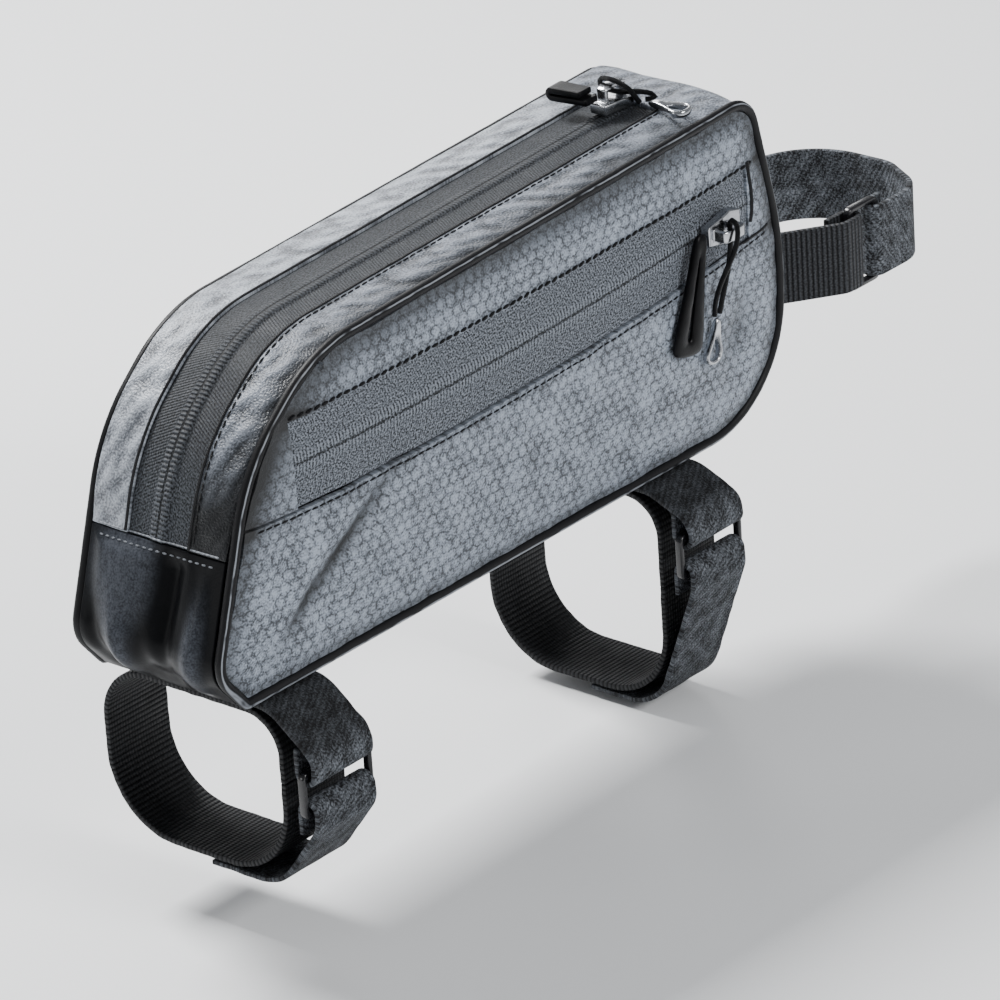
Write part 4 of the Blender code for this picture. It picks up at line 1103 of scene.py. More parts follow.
    def build_upper(self, shoulder: float, front_top: float) -> None:
        """Make the right panel over the seam and cut the pocket's window in it."""
        outline = self.outline
        columns, rows = (10, 130, 10), (16, 18)
        rear_s, front_s = self.crossings(outline.seam)
        rear_t, front_t = self.crossings(outline.stitch)
        band_rear, band_front = self.span(rear_s, rear_t), self.span(front_s, front_t)
        top_rear, top_front = self.span(rear_t, shoulder), self.span(front_t, front_top)
        top = self.span(shoulder, front_top)
        window = (outline.along(self.pocket_rear), outline.along(self.pocket_front))
        total, split = sum(columns), rows[0] / sum(rows)

        def mark(u: float, first: float, last: float) -> float:
            step = u * total
            if step <= columns[0]:
                return lerp(first, window[0], step / columns[0])
            if step <= total - columns[2]:
                return lerp(window[0], window[1], (step - columns[0]) / columns[1])
            return lerp(window[1], last, (step - total + columns[2]) / columns[2])

        def place(u: float, v: float) -> Vector:
            if v <= split + 1e-6:
                t = min(v / split, 1.0)
                first, last = band_rear(t).x, band_front(t).x
                x = mark(u, first, last)
                z = lerp(outline.seam(x), outline.stitch(x), t)
                return self.skin(Side.RIGHT, x, z)
            t = (v - split) / (1 - split)
            x = mark(u, band_rear(1.0).x, band_front(1.0).x)
            share = (x - band_rear(1.0).x) / (band_front(1.0).x - band_rear(1.0).x)
            low, high = Vector((x, outline.stitch(x))), top(share)
            a, b = top_rear(0.0), top_front(0.0)
            c, d = top_rear(1.0), top_front(1.0)
            flat = (low.lerp(high, t) + top_rear(t).lerp(top_front(t), share)
                    - a.lerp(b, share).lerp(c.lerp(d, share), t))
            return self.skin(Side.RIGHT, flat.x, flat.y)

        piece = shaped_grid("right_upper_cloth", total, sum(rows), place)
        solo(piece)
        bpy.ops.object.mode_set(mode="EDIT")
        bpy.ops.mesh.select_all(action="DESELECT")
        bpy.ops.object.mode_set(mode="OBJECT")
        for face in piece.data.polygons:
            x, z = face.center.x, face.center.z
            face.select = window[0] < x < window[1] and z < outline.stitch(x)
        bpy.ops.object.mode_set(mode="EDIT")
        bpy.ops.mesh.delete(type="FACE")
        bpy.ops.object.mode_set(mode="OBJECT")
        give_wall(piece, CLOTH, even=False)
        shade(piece, "painted_shade", self.painted_shade)
        self.made[piece.name] = dress(piece, Slot.SIDE, "side_panel_right_upper")

    def finish(self, name: str, columns: int, rows: int, place: Place, node: str) -> None:
        """Make one panel of a grid and give it its wall."""
        piece = shaped_grid(name, columns, rows, place)
        give_wall(piece, CLOTH, even=False)
        shade(piece, "painted_shade", self.painted_shade)
        self.made[name] = dress(piece, Slot.SIDE, node)


@dataclass
class Gusset:
    """What runs round the bag between its sides: zip, strips, nose, front and base."""

    outline: Outline
    rim: Rim
    nose_share: float = 0.43
    front_share: float = 0.863
    zip_width: float = 18.0 * MM
    tape: float = 1.2 * MM
    recess: float = 0.6 * MM
    coil_height: float = 0.6 * MM
    coil_half: float = 2.8 * MM
    folds: tuple[Fold, ...] = (
        Fold(-0.26, 0.60, 96, 1.10, 0.15, -2.3), Fold(0.40, 0.80, 84, 0.85, 0.46, 1.7),
        Fold(-0.68, 0.36, 98, 0.75, 0.15, 1.5), Fold(0.72, 0.26, 60, 0.60, 0.13, -1.3),
        Fold(0.40, 0.30, 66, 0.50, 0.12, 1.2), Fold(0.02, 0.26, 80, 0.60, 0.14, -1.0))
    roll: float = 1.1 * MM
    lift: float = 0.8 * MM
    fade: float = 9 * MM
    made: dict[str, bpy.types.Object] = field(default_factory=dict)

    def __post_init__(self) -> None:
        """Find where the pieces meet along the rim."""
        rim, outline = self.rim, self.outline
        self.heel, shoulder = rim.ends[Corner.HEEL], rim.ends[Corner.SHOULDER]
        seam_z, front_x = self.nose_share * outline.height, outline.along(self.front_share)
        self.nose_seam = rim.crossing(lambda p: p.y > seam_z, self.heel, shoulder)
        self.zip_front = rim.crossing(lambda p: p.x > front_x, shoulder, rim.middles[Corner.FRONT_TOP])
        self.toe_end = rim.ends[Corner.TOE]

    def strip(self, name: str, node: str, slot: Slot, s_range: tuple[float, float],
              y_range: tuple[float, float], cells: tuple[int, int], wall: float = CLOTH,
              sunk: float = 0.0, relief: Callable[[float, float], float] | None = None,
              painted_shade: Callable[[Vector], float] | None = None, finish: Finish | None = None) -> None:
        """Make a band of cloth that follows the rim."""

        def place(u: float, v: float) -> Vector:
            s, y = lerp(*s_range, u), lerp(*y_range, v)
            out = self.rim.out(s)
            rise = relief(s, y) if relief else 0.0
            return self.rim.gusset(s, y, sunk) + Vector((out.x, 0.0, out.y)) * rise

        piece = shaped_grid(name, *cells, place, (s_range[1] - s_range[0], y_range[1] - y_range[0]))
        give_wall(piece, wall)
        if painted_shade:
            shade(piece, "painted_shade", painted_shade)
        self.made[name] = dress(piece, slot, node, finish=finish)

    def low_painted_shade(self, point: Vector) -> float:
        """Painted shade on the right strip and a darker tone on the zip: the zip is darkened all along,
        a little less towards the nose; the right strip is painted dark towards the nose and beside its
        piping; the left strip is left as it is.
        """
        low = 1 - ease((point.z / self.outline.height - 0.52) / 0.22)
        if abs(point.y) < self.zip_width / 2:
            return 0.76 - 0.16 * low
        if point.y > 0:
            return 0.0
        edge = ease((-point.y / self.outline.half - 0.62) / 0.26)
        return 0.98 * low + (0.04 + 0.70 * edge) * (1 - low)

    def nose_painted_shade(self, point: Vector) -> float:
        """Painted shade: the patch is painted black but for its ridges, which keep the cloth's lighter
        tone as painted light.
        """
        across = point.y / self.outline.gusset_edge
        up = point.z / (self.nose_share * self.outline.height)
        heights = [fold.at(across, up) for fold in self.folds]
        ridges = sum(max(height, 0.0) for height in heights)
        valleys = sum(min(height, 0.0) for height in heights)
        return 1.0 - ease(0.75 * ridges + 0.35 * valleys) * ease(up / 0.30 + 0.1)

    def coil_relief(self, s: float, y: float) -> float:
        """The ridge of the zip's coil."""
        return self.coil_height * (1 - ease((abs(y) / self.coil_half - 0.55) / 0.45))

    def cloth_relief(self, s: float, y: float) -> float:
        """Slow unevenness and puckers; the right strip rolls down to its piping, the left one up."""
        cross = ripple(s, y, 4.5 * MM, 14 * MM, 21.0)
        slow = ripple(s, y, 30 * MM, 9 * MM, 5.0)
        inner = self.zip_width / 2
        out = max(abs(y) - inner, 0.0) / (self.outline.gusset_edge - inner)
        ends = ease((s - self.nose_seam) / self.fade) * ease((self.toe_end - s) / self.fade)
        rise = self.lift * min(1.5 * out, 1.0) if y > 0 else -self.roll * out ** 2
        return 0.10 * MM * cross + 0.20 * MM * slow + rise * ends

    def build(self) -> None:
        """Make the zip, the strips beside it, the front and the base."""
        edge, half = self.outline.gusset_edge, self.zip_width / 2
        run = (self.nose_seam + 2 * HAIR, self.zip_front - HAIR)
        self.strip("main_zip_tape", "main_zip", Slot.TAPE, run, (-half, half), (260, 40), self.tape,
                   self.recess, self.coil_relief, self.low_painted_shade)
        inner = half + HAIR
        self.strip("right_strip", "gusset_right", Slot.GUSSET, run, (-edge, -inner), (220, 14),
                   relief=self.cloth_relief, painted_shade=self.low_painted_shade)
        # The left strip takes the lighter copy of the gusset finish: painted light.
        self.strip("left_strip", "gusset_left", Slot.GUSSET, run, (inner, edge), (220, 14),
                   relief=self.cloth_relief, finish=PAINTED_LIGHT_STRIP)
        self.strip("front_cloth", "front_panel", Slot.GUSSET,
                   (self.zip_front + HAIR, self.toe_end - HAIR), (-edge, edge), (150, 44),
                   relief=self.cloth_relief)
        self.strip("base_cloth", "base_panel", Slot.COATED,
                   (self.toe_end + HAIR, self.rim.total - HAIR), (-edge, edge), (90, 24))
        self.strip("nose_cloth", "nose_panel", Slot.COATED,
                   (self.heel + HAIR, self.nose_seam - 2 * HAIR), (-edge, edge), (110, 110),
                   relief=self.nose_relief, painted_shade=self.nose_painted_shade)

    def nose_relief(self, s: float, y: float) -> float:
        """The soft patch sags into folds between its seams."""
        up = (s - self.heel) / (self.nose_seam - self.heel)
        across = y / self.outline.gusset_edge
        tall = self.nose_seam - self.heel
        rim = min((1 - abs(across)) * self.outline.gusset_edge, up * tall, (1 - up) * tall)
        waves = 0.30 * ripple(y, s, 5 * MM, 14 * MM, 2.0)
        return MM * ease(rim / (5 * MM)) * (sum(fold.at(across, up) for fold in self.folds) + waves)


@dataclass
class PocketZip:
    """The zip in the window of the right side."""

    outline: Outline
    panels: SidePanels
    recess: float = 0.6 * MM
    tape: float = 1.2 * MM
    coil_height: float = 0.35 * MM
    coil_half: float = 2.8 * MM

    def place(self, u: float, v: float) -> Vector:
        """A point of the tape's outer face."""
        outline = self.outline
        x = lerp(outline.along(self.panels.pocket_rear) + HAIR,
                 outline.along(self.panels.pocket_front) - HAIR, u)
        low, high = outline.seam(x) + HAIR, outline.stitch(x) - HAIR
        z = lerp(low, high, v)
        off = abs(z - (low + high) / 2) / self.coil_half
        rise = self.coil_height * (1 - ease((off - 0.55) / 0.45)) - self.recess
        return Vector((x, -(outline.half + outline.crown(x, z) + rise), z))

    def build(self) -> None:
        """Make the tape with its coil's ridge."""
        length = (self.panels.pocket_front - self.panels.pocket_rear) * self.outline.length
        piece = shaped_grid("pocket_zip_tape", 200, 40, self.place, (length, 18 * MM))
        give_wall(piece, self.tape)
        dress(piece, Slot.TAPE, "pocket_zip")


@dataclass
class Piping:
    """The bound edge of each side panel: a round piping with a few tugs in it."""

    outline: Outline
    rim: Rim

    def build(self) -> None:
        """Make both pipings."""
        for side, node in ((Side.RIGHT, "piping_right"), (Side.LEFT, "piping_left")):
            piece = shaped_grid(node + "_binding", 420, 12, self.shape(side), (self.rim.total, 8 * MM))
            close_seams(piece)
            shade(piece, "pale", self.pale)
            dress(piece, Slot.PIPING, node, smooth=80.0)

    def pale(self, point: Vector) -> float:
        """Painted highlight: the binding is painted pale at the heel and along the base, where its edge
        is lit.
        """
        low = 1 - ease((point.z / self.outline.height - 0.02) / 0.12)
        heel = 1 - ease((point.x - self.outline.rear) / (0.10 * self.outline.length))
        return low * (0.45 + 0.55 * heel)

    def shape(self, side: Side) -> Place:
        """The tube round the rim, read by distance along and turn about it."""
        outline, rim = self.outline, self.rim
        radius = outline.piping_radius
        centre = side.value * (outline.half - outline.piping_inset)

        def place(u: float, v: float) -> Vector:
            s = (u % 1.0) * rim.total
            middle, out = rim.at(s, outline.piping_inset), rim.out(s)
            turn = 2 * math.pi * (v % 1.0)
            tug = 1.0 - 0.04 * abs(ripple(s, side.value * 3.0, 7 * MM, 1.0, 1.0))
            point = middle + out * (radius * tug * math.cos(turn))
            return Vector((point.x, centre + side.value * radius * tug * math.sin(turn), point.y))

        return place


@dataclass
class Seams:
    """The rows of stitches on the sides, beside the main zip and over the nose patch."""

    outline: Outline
    rim: Rim
    panels: SidePanels
    gusset: Gusset
    thick_thread: ThreadRow = ThreadRow(2.25 * MM, 0.44 * MM, 2.5 * MM, 13.0)
    thin_thread: ThreadRow = ThreadRow(2.15 * MM, 0.27 * MM, 2.4 * MM, 3.0)
    nose_thread: ThreadRow = ThreadRow(1.25 * MM, 0.24 * MM, 1.9 * MM, 4.0)
    cord: float = 0.38 * MM

    def sew(self, name: str, places: Sequence[tuple[Vector, Vector]], surface: Surface,
            thread: ThreadRow, cord: float) -> None:
        """Sew a row of stitches, or lay a cord of this radius instead."""
        if cord:
            thread.line(name, places, surface, cord)
        else:
            thread.lay(name, places, surface, Slot.CORD)

    def side_row(self, name: str, height: Callable[[float], float], first: float, last: float,
                 surface: Surface, thread: ThreadRow, cord: float = 0.0) -> None:
        """Sew a row along a line of the right side."""
        count = round((last - first) / thread.pitch)
        marks = [lerp(first, last, k / count) for k in range(count + 1)]
        places = [(Vector((x, -self.outline.half - 8 * MM, height(x))), Vector((0, 1, 0)))
                  for x in marks]
        self.sew(name, places, surface, thread, cord)

    def rim_row(self, name: str, y: float, surface: Surface, cord: float = 0.0) -> None:
        """Sew a row along the rim at one y."""
        thread = self.thin_thread
        first, last = self.gusset.nose_seam + 0.5 * MM, self.gusset.zip_front - 0.5 * MM
        count = round((last - first) / thread.pitch)
        places = [self.rim.outside(lerp(first, last, k / count), y) for k in range(count + 1)]
        self.sew(name, places, surface, thread, cord)

    def nose_row(self, name: str, up: float, surface: Surface, cord: float = 0.0) -> None:
        """Sew a pale row across the bag beside the nose patch's seam, or lay a pale cord that paints
        the highlight on the seam's folded edge.
        """
        s, edge, thread = self.gusset.nose_seam + up, self.outline.gusset_edge, self.nose_thread
        count = round(2 * edge / thread.pitch)
        places = [self.rim.outside(s, lerp(-edge, edge, k / count)) for k in range(count + 1)]
        if cord:
            thread.line(name, places, surface, cord, Slot.GUSSET, PALE_THREAD_AND_HIGHLIGHT)
        else:
            thread.lay(name, places, surface, Slot.GUSSET, PALE_THREAD_AND_HIGHLIGHT)

    def pocket_end(self, surface: Surface) -> None:
        """Lay a dark cord at the front end of the pocket's window: its turned edge, with the shadow
        beside it painted in.
        """
        x = self.outline.along(self.panels.pocket_front)
        low, high = self.outline.seam(x) + 4 * MM, self.outline.stitch(x) + 1.5 * MM
        places = []
        for k in range(13):
            share = k / 12
            bow = 0.7 * MM + 1.6 * MM * math.sin(math.pi * share) * (1 - share)
            places.append((Vector((x + bow, -self.outline.half - 8 * MM, lerp(low, high, share))),
                           Vector((0, 1, 0))))
        self.thick_thread.line("pocket_end_edge_and_shadow", places, surface, 0.55 * MM)

    def build(self) -> None:
        """Sew every row."""
        outline, panels = self.outline, self.panels
        right = Surface([panels.made["right_upper_cloth"], panels.made["right_lower_cloth"]])
        rear, front = outline.along(panels.pocket_rear), outline.along(panels.pocket_front)
        self.side_row("pocket_top_stitches", lambda x: outline.stitch(x) + 0.7 * MM,
                      rear - 6 * MM, front + 4 * MM, right, self.thick_thread)
        self.side_row("seam_stitches", lambda x: outline.seam(x) - 1.5 * MM,
                      rear - 14 * MM, front + 8 * MM, right, self.thin_thread)
        self.side_row("seam_line", lambda x: outline.seam(x) - 0.2 * MM, rear - 14 * MM,
                      front + 8 * MM, right, self.thin_thread, self.cord)
        self.pocket_end(right)
        strips = Surface([self.gusset.made["right_strip"], self.gusset.made["left_strip"]])
        inner = self.gusset.zip_width / 2
        # The dark cords beside the main zip stand for its seam lines and for the shadow gap where the
        # strips' folded edges meet the tape: part seam, part painted shadow.
        for label, sign in (("right", -1), ("left", 1)):
            self.rim_row(label + "_zip_line", sign * (inner + 0.5 * MM), strips, self.cord)
        self.rim_row("right_zip_stitches", -inner - 1.7 * MM, strips)
        band = Surface([self.gusset.made[key] for key in ("right_strip", "left_strip",
                                                          "main_zip_tape")])
        # Painted highlight: a pale cord along the folded edge over the nose seam.
        self.nose_row("nose_seam_edge", 0.6 * MM, band, 0.22 * MM)
        self.nose_row("nose_seam_stitches", -1.9 * MM, Surface([self.gusset.made["nose_cloth"]]))


@dataclass(frozen=True)
class Ring:
    """A strap's ring, with two bars that the plies wrap round and are hemmed at."""

    bar: float = 2.0 * MM
    gap: float = 3.2 * MM
    hem: float = 6.0 * MM

    def wrap(self, thick: float) -> float:
        """From a bar's middle to the middle of a ply round it."""
        return self.bar * math.sqrt(0.5) + SEAM_GAP + thick / 2

    def span(self, thick: float) -> float:
        """From one bar's middle to the other's."""
        return 2 * (self.wrap(thick) + thick / 2) + self.gap


@dataclass
class TubeStrap:
    """One strap round the top tube: loop, flap, tail and ring."""

    prefix: str
    middle: float
    tube_depth: float
    ring_drop: float
    width: float = 20.0 * MM
    thick: float = 1.5 * MM
    tube_half: float = 26.2 * MM
    stand_off: float = 7.0 * MM
    wear: float = 0.12 * MM
    ring: Ring = Ring()

    def ply(self, name: str, slot: Slot, route: Polyline, node: str, wear: float,
            painted_shade: Callable[[Vector], float]) -> None:
        """Make one ply of strap along a route in the YZ plane."""
        cells = max(24, round(route.length / (0.7 * MM)))

        def place(u: float, v: float) -> Vector:
            point = route.share(u)
            across = (v - 0.5) * self.width
            gone, step = u * route.length, 0.4 * MM
            way = (route.at(gone + step) - route.at(gone - step)).normalized()
            lift = wear * ripple(gone, across, 5 * MM, 6 * MM, 4.0)
            fray = ripple(gone, math.copysign(9, v - 0.5), 3 * MM, 1.0, 0.0)
            edge = 0.2 * MM * fray * abs(2 * v - 1) ** 8
            point = point + Vector((-way.y, way.x)) * lift
            return Vector((self.middle + across + edge, point.x, point.y))

        piece = shaped_grid(name, cells, 26, place, (route.length, self.width))
        give_wall(piece, self.thick - 2 * wear, 0.0, 0.35 * MM)
        shade(piece, "painted_shade", painted_shade)
        dress(piece, slot, node)

    def build(self, outline: Outline) -> None:
        """Make the plies and the ring."""
        wrap, span, hem = self.ring.wrap(self.thick), self.ring.span(self.thick), self.ring.hem
        flap_z = outline.piping_inset - outline.piping_radius - SEAM_GAP - self.thick / 2
        loop_z = flap_z - self.thick - SEAM_GAP
        side = self.tube_half + self.thick / 2
        bottom = loop_z - self.tube_depth
        ring_y = -(side + self.stand_off)
        outer_y, inner_y = ring_y - wrap, ring_y + wrap
        upper, lower = -self.ring_drop + span / 2, -self.ring_drop - span / 2
        shoulder = 0.36 * side
        corners = [Vector((-side, loop_z)), Vector((side, loop_z)), Vector((side, bottom)),
                   Vector((-side, bottom))]
        radii = (shoulder, 1.45 * shoulder, 1.9 * shoulder, 1.9 * shoulder)
        points: list[Vector] = []
        for k in range(4):
            points += arc(corners[k - 1], corners[k], corners[(k + 1) % 4], radii[k], 16)
        start = (points[0] + points[-1]) / 2
        loop = Polyline([start] + points + [start])
        # Painted shade: the loop round the tube is painted darker all over.
        self.ply(self.prefix + "_loop_strap", Slot.WEBBING, loop, self.prefix + "_strap_loop", 0.0,
                 lambda point: 0.6)
        flap = rounded_route([(-0.2 * side, flap_z, 0), (-0.9 * side, flap_z, shoulder),
                              (outer_y, upper + 1.7 * wrap, 2.3 * wrap), (outer_y, upper - wrap, wrap),
                              (inner_y, upper - wrap, wrap), (inner_y, upper + hem, 0)])
        # Painted shade on the flap, darker towards the bag.
        self.ply(self.prefix + "_flap_strap", Slot.LOOP, flap, self.prefix + "_strap_flap", self.wear,
                 lambda point: 0.65 * ease((point.z + self.ring_drop - 5 * MM) / (8 * MM)))
        under = bottom - self.thick - SEAM_GAP
        tail = rounded_route([(inner_y, lower - hem, 0), (inner_y, lower + wrap, wrap),
                              (outer_y, lower + wrap, wrap), (outer_y, lower - 1.6 * wrap, 2.5 * wrap),
                              (-0.88 * side, under, 1.3 * shoulder), (-0.1 * side, under, 0)])
        # Painted shade on the tail, darker towards the bottom of the tube.
        self.ply(self.prefix + "_tail_strap", Slot.LOOP, tail, self.prefix + "_strap_tail", self.wear,
                 lambda point: 0.35 * ease((under + 16 * MM - point.z) / (12 * MM)))
        bevelled(self.prefix + "_ring", self.prefix + "_loop_ring", Slot.PLASTIC, 0.45 * MM)


@dataclass
class SteererStrap:
    """The webbing, ring and strap that go round the steerer."""

    outline: Outline
    width: float = 18.5 * MM
    thick: float = 1.5 * MM
    radius: float = 18.3 * MM
    reach: float = 39.0 * MM
    level: float = 31.0 * MM
    ring: Ring = Ring()

    def ply(self, name: str, slot: Slot, route: Polyline, node: str) -> None:
        """Make one ply of strap along a route in the XY plane."""
        cells = max(24, round(route.length / (0.7 * MM)))

        def place(u: float, v: float) -> Vector:
            point = route.share(u)
            return Vector((point.x, point.y, self.level + (v - 0.5) * self.width))

        piece = shaped_grid(name, cells, 24, place, (route.length, self.width))
        give_wall(piece, self.thick, 0.0, 0.35 * MM)
        dress(piece, slot, node)

    def build(self) -> None:
        """Make both plies and the ring."""
        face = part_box("steerer_webbing")[0].x - SEAM_GAP
        flat = face + SEAM_GAP + self.thick / 2
        wrap, span, hem = self.ring.wrap(self.thick), self.ring.span(self.thick), self.ring.hem
        centre = face + self.reach
        ring_x = centre - 0.5 * self.radius
        ring_y = -(self.radius + SEAM_GAP + self.thick + wrap)
        outer_y, inner_y = ring_y - wrap, ring_y + wrap
        rear_bar, front_bar = ring_x - span / 2, ring_x + span / 2
        around = self.radius + self.thick / 2
        web = rounded_route([(flat, 0.15 * around, 0), (flat, -0.6 * around, 0.25 * around),
                             (rear_bar - 1.9 * wrap, outer_y, 2.0 * wrap),
                             (rear_bar + wrap, outer_y, wrap), (rear_bar + wrap, inner_y, wrap),
                             (rear_bar - hem, inner_y, 0)])
        self.ply("steerer_ribbed_webbing", Slot.WEBBING, web, "steerer_webbing")
        over = rounded_route([(front_bar + hem, inner_y, 0), (front_bar - wrap, inner_y, wrap),
                              (front_bar - wrap, outer_y, wrap),
                              (centre + 0.55 * around, outer_y, 0.55 * around),
                              (centre + around, -0.55 * around, 0.5 * around),
                              (centre + around, around, 0.98 * around),
                              (face + 0.55 * self.reach, around, 0.5 * around),
                              (flat, 0.75 * around, 0.12 * around),
                              (flat, 0.15 * around + self.thick, 0)])
        self.ply("steerer_loop_strap", Slot.LOOP, over, "steerer_strap")
        bevelled("steerer_ring", "steerer_loop_ring", Slot.PLASTIC, 0.45 * MM)


def bevelled(node: str, name: str, slot: Slot, width: float) -> bpy.types.Object:
    """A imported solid's shape with its edges rounded off."""
    piece = copy_of(node, name)
    solo(piece)
    bpy.ops.object.mode_set(mode="EDIT")
    bpy.ops.mesh.select_all(action="SELECT")
    bpy.ops.mesh.dissolve_limited(angle_limit=math.radians(2))
    bpy.ops.object.mode_set(mode="OBJECT")
    apply_modifier(piece, "BEVEL", width=width, segments=3, limit_method="ANGLE",
                   angle_limit=math.radians(40))
    return dress(piece, slot, node, smooth=50.0)


def rounded(node: str, name: str, slot: Slot, levels: int = 2) -> bpy.types.Object:
    """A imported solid's shape, made soft and round by subdivision."""
    piece = copy_of(node, name)
    apply_modifier(piece, "SUBSURF", levels=levels, render_levels=levels)
    return dress(piece, slot, node, smooth=80.0)


@dataclass
class ZipFurniture:
    """Sliders, pulls, cords and the cords' bright ends.

    The routes of the cords are in millimetres: forward along the zip, across it, and outwards
    from the slider's seat.
    """

    outline: Outline
    rim: Rim
    panels: SidePanels
    diameter: float = 1.3 * MM
    main_slider_x: float = 0.838
    pocket_slider_x: float = 0.864
    coil_rise: float = 0.4 * MM
    pull_thick: float = 1.6 * MM
    pull_bend: float = 0.95 * MM
    pull_low: float = 3.9 * MM
    pull_reach: float = 11.3 * MM
    pull_span: tuple[float, float] = (-9.4 * MM, -4.9 * MM)
    pocket_route: tuple[tuple[float, float, float], ...] = (
        (-4.3, -20.6, 1.7), (-4.9, -17.0, 2.6), (-5.0, -12.0, 4.4), (-4.2, -7.0, 6.4),
        (-2.8, -3.0, 7.6), (-1.7, 0.0, 7.7), (-0.9, 2.3, 7.0), (-0.3, 3.2, 5.4),
        (0.1, 2.3, 4.1), (0.3, 0.0, 3.9), (0.2, -3.0, 3.9), (-0.2, -7.0, 3.7),
        (-1.0, -12.0, 3.1), (-1.9, -17.0, 2.3), (-2.4, -20.6, 1.7))
    main_route: tuple[tuple[float, float, float], ...] = (
        (3.1, -5.4, 0.9), (2.3, -5.1, 2.2), (0.6, -4.6, 5.0), (-1.0, -2.6, 7.1),
        (-1.6, 0.0, 7.7), (-1.2, 2.3, 7.0), (-0.6, 3.2, 5.4), (-0.1, 2.3, 4.1),
        (0.1, 0.0, 3.9), (0.5, -2.4, 3.9), (2.6, -4.6, 3.7), (6.2, -5.6, 2.2),
        (7.2, -7.0, 1.2), (6.0, -6.6, 0.9), (5.0, -5.6, 0.9))

    def pocket_point(self, row: tuple[float, float, float]) -> Vector:
        """A point of the pocket's cord in the shared frame."""
        outline = self.outline
        x = outline.along(self.pocket_slider_x)
        z = (outline.seam(x) + outline.stitch(x)) / 2
        ends = (x - 6 * MM, x, x + 6 * MM)
        base = max(outline.crown(end, z) for end in ends) + self.coil_rise + SEAM_GAP
        u, v, w = (MM * value for value in row)
        return Vector((x + u, -(outline.half + base + w), z + v))

    def main_point(self, row: tuple[float, float, float]) -> Vector:
        """A point of the main zip's cord in the shared frame."""
        outline, rim = self.outline, self.rim
        slider_x = outline.along(self.main_slider_x)
        seat = rim.crossing(lambda p: p.x > slider_x, rim.ends[Corner.SHOULDER],
                            rim.middles[Corner.FRONT_TOP])
        out = rim.out(seat)
        base = rim.at(seat) + out * (outline.gusset_crown + self.coil_rise + SEAM_GAP)
        u, v, w = (MM * value for value in row)
        point = base + Vector((out.y, -out.x)) * u + out * w
        return Vector((point.x, v, point.y))

    def smooth(self, rows: Sequence[Vector]) -> list[Vector]:
        """A smooth line through the points, read at steps of one diameter."""
        padded = [2 * rows[0] - rows[1], *rows, 2 * rows[-1] - rows[-2]]
        fine = []
        for a, b, c, d in zip(padded, padded[1:], padded[2:], padded[3:]):
            for part in range(12):
                t = part / 12
                fine.append((2 * b + (c - a) * t + (2 * a - 5 * b + 4 * c - d) * t * t
                             + (3 * b - a - 3 * c + d) * t ** 3) / 2)
        fine.append(rows[-1])
        line = Polyline(fine)
        steps = max(8, round(line.length / self.diameter))
        return [line.at(line.length * k / steps) for k in range(steps + 1)]

    def cord(self, node: str, rows: Sequence[Vector], drop: bpy.types.Object) -> None:
        points = self.smooth(rows)
        curve = bpy.data.curves.new(node + "_loop", "CURVE")
        curve.dimensions = "3D"
        curve.bevel_depth = self.diameter / 2
        curve.bevel_resolution = 3
        curve.use_fill_caps = True
        spline = curve.splines.new("POLY")
        spline.points.add(len(points) - 1)
        for knot, point in zip(spline.points, points):
            knot.co = (*point, 1.0)
        curve.materials.append(finish_of(Slot.CORD))
        piece = bpy.data.objects.new(node + "_loop", curve)
        bpy.context.scene.collection.objects.link(piece)
        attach(piece, "root")
        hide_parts(node)
        length = sum((b - a).length for a, b in zip(points, points[1:]))
        tuple(points[0])
        LOG.info("%s: %.1f mm long", piece.name, length / MM)

    def build(self) -> None:
        """Dress the furniture of both zips."""
        routes = {"pocket": [self.pocket_point(row) for row in self.pocket_route],
                  "main": [self.main_point(row) for row in self.main_route]}
        for prefix, route in routes.items():
            drop = rounded(prefix + "_cord_end", prefix + "_drop", Slot.METAL)
            self.cord(prefix + "_cord", route, drop)
            bevelled(prefix + "_slider", prefix + "_zip_slider", Slot.METAL, 0.35 * MM)
        rounded("pocket_pull", "pocket_soft_pull", Slot.RUBBER)
        self.folded_pull()

    def folded_pull(self) -> None:
        """The main zip's pull: a soft loop pressed flat that lies towards the rider's left."""
        thick, bend, low = self.pull_thick, self.pull_bend, self.pull_low
        route = rounded_route([(0.5 * MM, low, 0), (self.pull_reach, low, bend),
                               (self.pull_reach, low + 2.06 * bend, bend),
                               (2.2 * MM, low + 1.9 * bend, 0)])
        rear, front = self.pull_span

        def place(u: float, v: float) -> Vector:
            point = route.share(u)
            across = lerp(rear, front, v) * (1 + 0.12 * ease(point.x / self.pull_reach))
            return self.main_point((across / MM, point.x / MM, point.y / MM))

        piece = shaped_grid("main_soft_pull", 60, 12, place, (route.length, front - rear))
        give_wall(piece, thick, 0.0, 0.5 * MM)
        dress(piece, Slot.RUBBER, "main_pull", smooth=60.0)


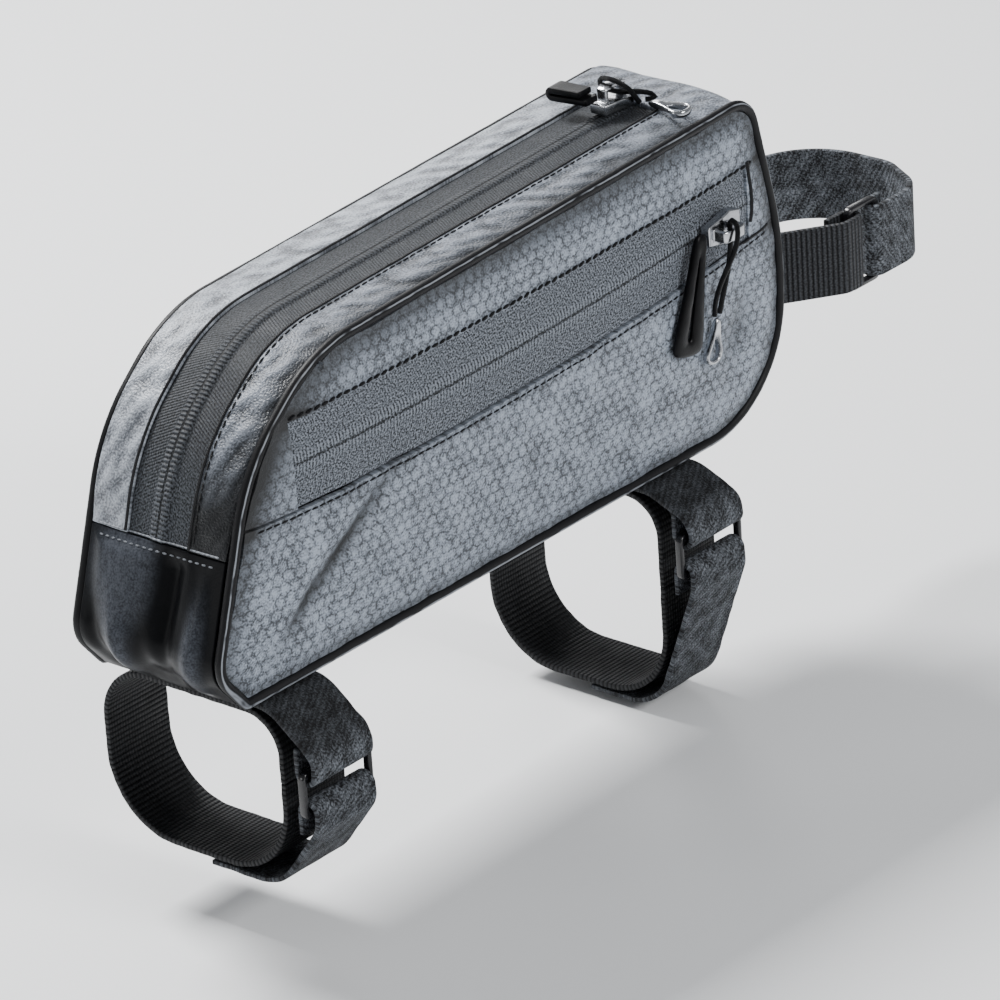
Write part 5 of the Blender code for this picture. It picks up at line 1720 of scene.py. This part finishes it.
@dataclass
class Studio:
    """The pale floor, the soft lights and the camera.

    The camera's focal length, picture width and shift are in pixels of the photograph.
    """

    floor_z: float = -61.0 * MM
    aim: tuple[float, float, float] = (0, 0, 30 * MM)
    focal: float = 2660.0
    picture: float = 410.0
    shift: float = 25.0
    film: float = 36.0

    def build(self) -> None:
        """Make the floor, the lights and the camera."""
        self.build_floor()
        self.build_lights()
        self.build_camera()

    def build_floor(self) -> None:
        """A wide pale floor."""
        bpy.ops.object.select_all(action="DESELECT")
        bpy.ops.mesh.primitive_plane_add(size=8.0, location=(0.0, 0.0, 0.0))
        floor = bpy.context.active_object
        floor.name = "pale_floor"
        floor.data.transform(Matrix.Translation((0.0, 0.0, self.floor_z)))
        paint = bpy.data.materials.new("pale_floor_paint")
        paint.use_nodes = True
        shader = paint.node_tree.nodes["Principled BSDF"]
        shader.inputs["Base Color"].default_value = (0.86, 0.87, 0.88, 1.0)
        shader.inputs["Roughness"].default_value = 0.7
        floor.data.materials.append(paint)

    def build_lights(self) -> None:
        """Soft lights above, at the right, behind and ahead, and a pale world."""
        for name, place, size, power in (("overhead", (0.05, 0.75, 0.95), 0.35, 30.0),
                                         ("fill", (0.10, -1.2, 0.80), 0.4, 13.0),
                                         ("rear", (-1.1, 0.60, 0.25), 0.20, 1.2),
                                         ("ahead", (1.10, 1.05, 0.62), 0.45, 3.5)):
            lamp = bpy.data.lights.new(name, "AREA")
            lamp.size = size
            lamp.energy = power
            light = bpy.data.objects.new(name, lamp)
            light.location = place
            way = Vector(self.aim) - Vector(place)
            light.rotation_euler = way.to_track_quat("-Z", "Y").to_euler()
            bpy.context.scene.collection.objects.link(light)
        world = bpy.data.worlds.new("soft_room")
        world.use_nodes = True
        background = world.node_tree.nodes["Background"]
        background.inputs[0].default_value = (0.95, 0.97, 1.0, 1.0)
        background.inputs[1].default_value = 0.36
        bpy.context.scene.world = world

    def build_camera(self) -> None:
        """The camera at the photograph's place, closer in on the bag."""
        right = Vector((0.64435, -0.76207, -0.06374))
        up = Vector((0.34916, 0.21903, 0.91110))
        ahead = Vector((0.68036, 0.60933, -0.40722))
        offset = self.shift / self.focal
        ahead = (ahead + right * offset - up * offset).normalized()
        right = (right - ahead * right.dot(ahead)).normalized()
        up = right.cross(ahead)
        lens = bpy.data.cameras.new("photo_camera")
        lens.sensor_width = self.film
        lens.lens = self.film * self.focal / self.picture
        camera = bpy.data.objects.new("photo_camera", lens)
        turn = Matrix((right, up, -ahead)).transposed().to_4x4()
        camera.matrix_world = Matrix.Translation((-1.0164, -0.9214, 0.6402)) @ turn
        bpy.context.scene.collection.objects.link(camera)
        bpy.context.scene.camera = camera


def main() -> None:
    """Build every sub-assembly in order."""
    logging.basicConfig(level=logging.INFO, format="%(message)s")
    outline = Outline()
    rim = Rim(outline)
    Studio().build()
    panels = SidePanels(outline, rim)
    ZipFurniture(outline, rim, panels).build()
    panels.build()
    gusset = Gusset(outline, rim)
    gusset.build()
    PocketZip(outline, panels).build()
    Piping(outline, rim).build()
    Seams(outline, rim, panels, gusset).build()
    TubeStrap("rear", outline.along(outline.rear_strap), 41.0 * MM, 20.0 * MM).build(outline)
    TubeStrap("front", outline.along(outline.front_strap), 53.5 * MM, 15.6 * MM).build(outline)
    SteererStrap(outline).build()


if __name__ == "__main__":
    main()
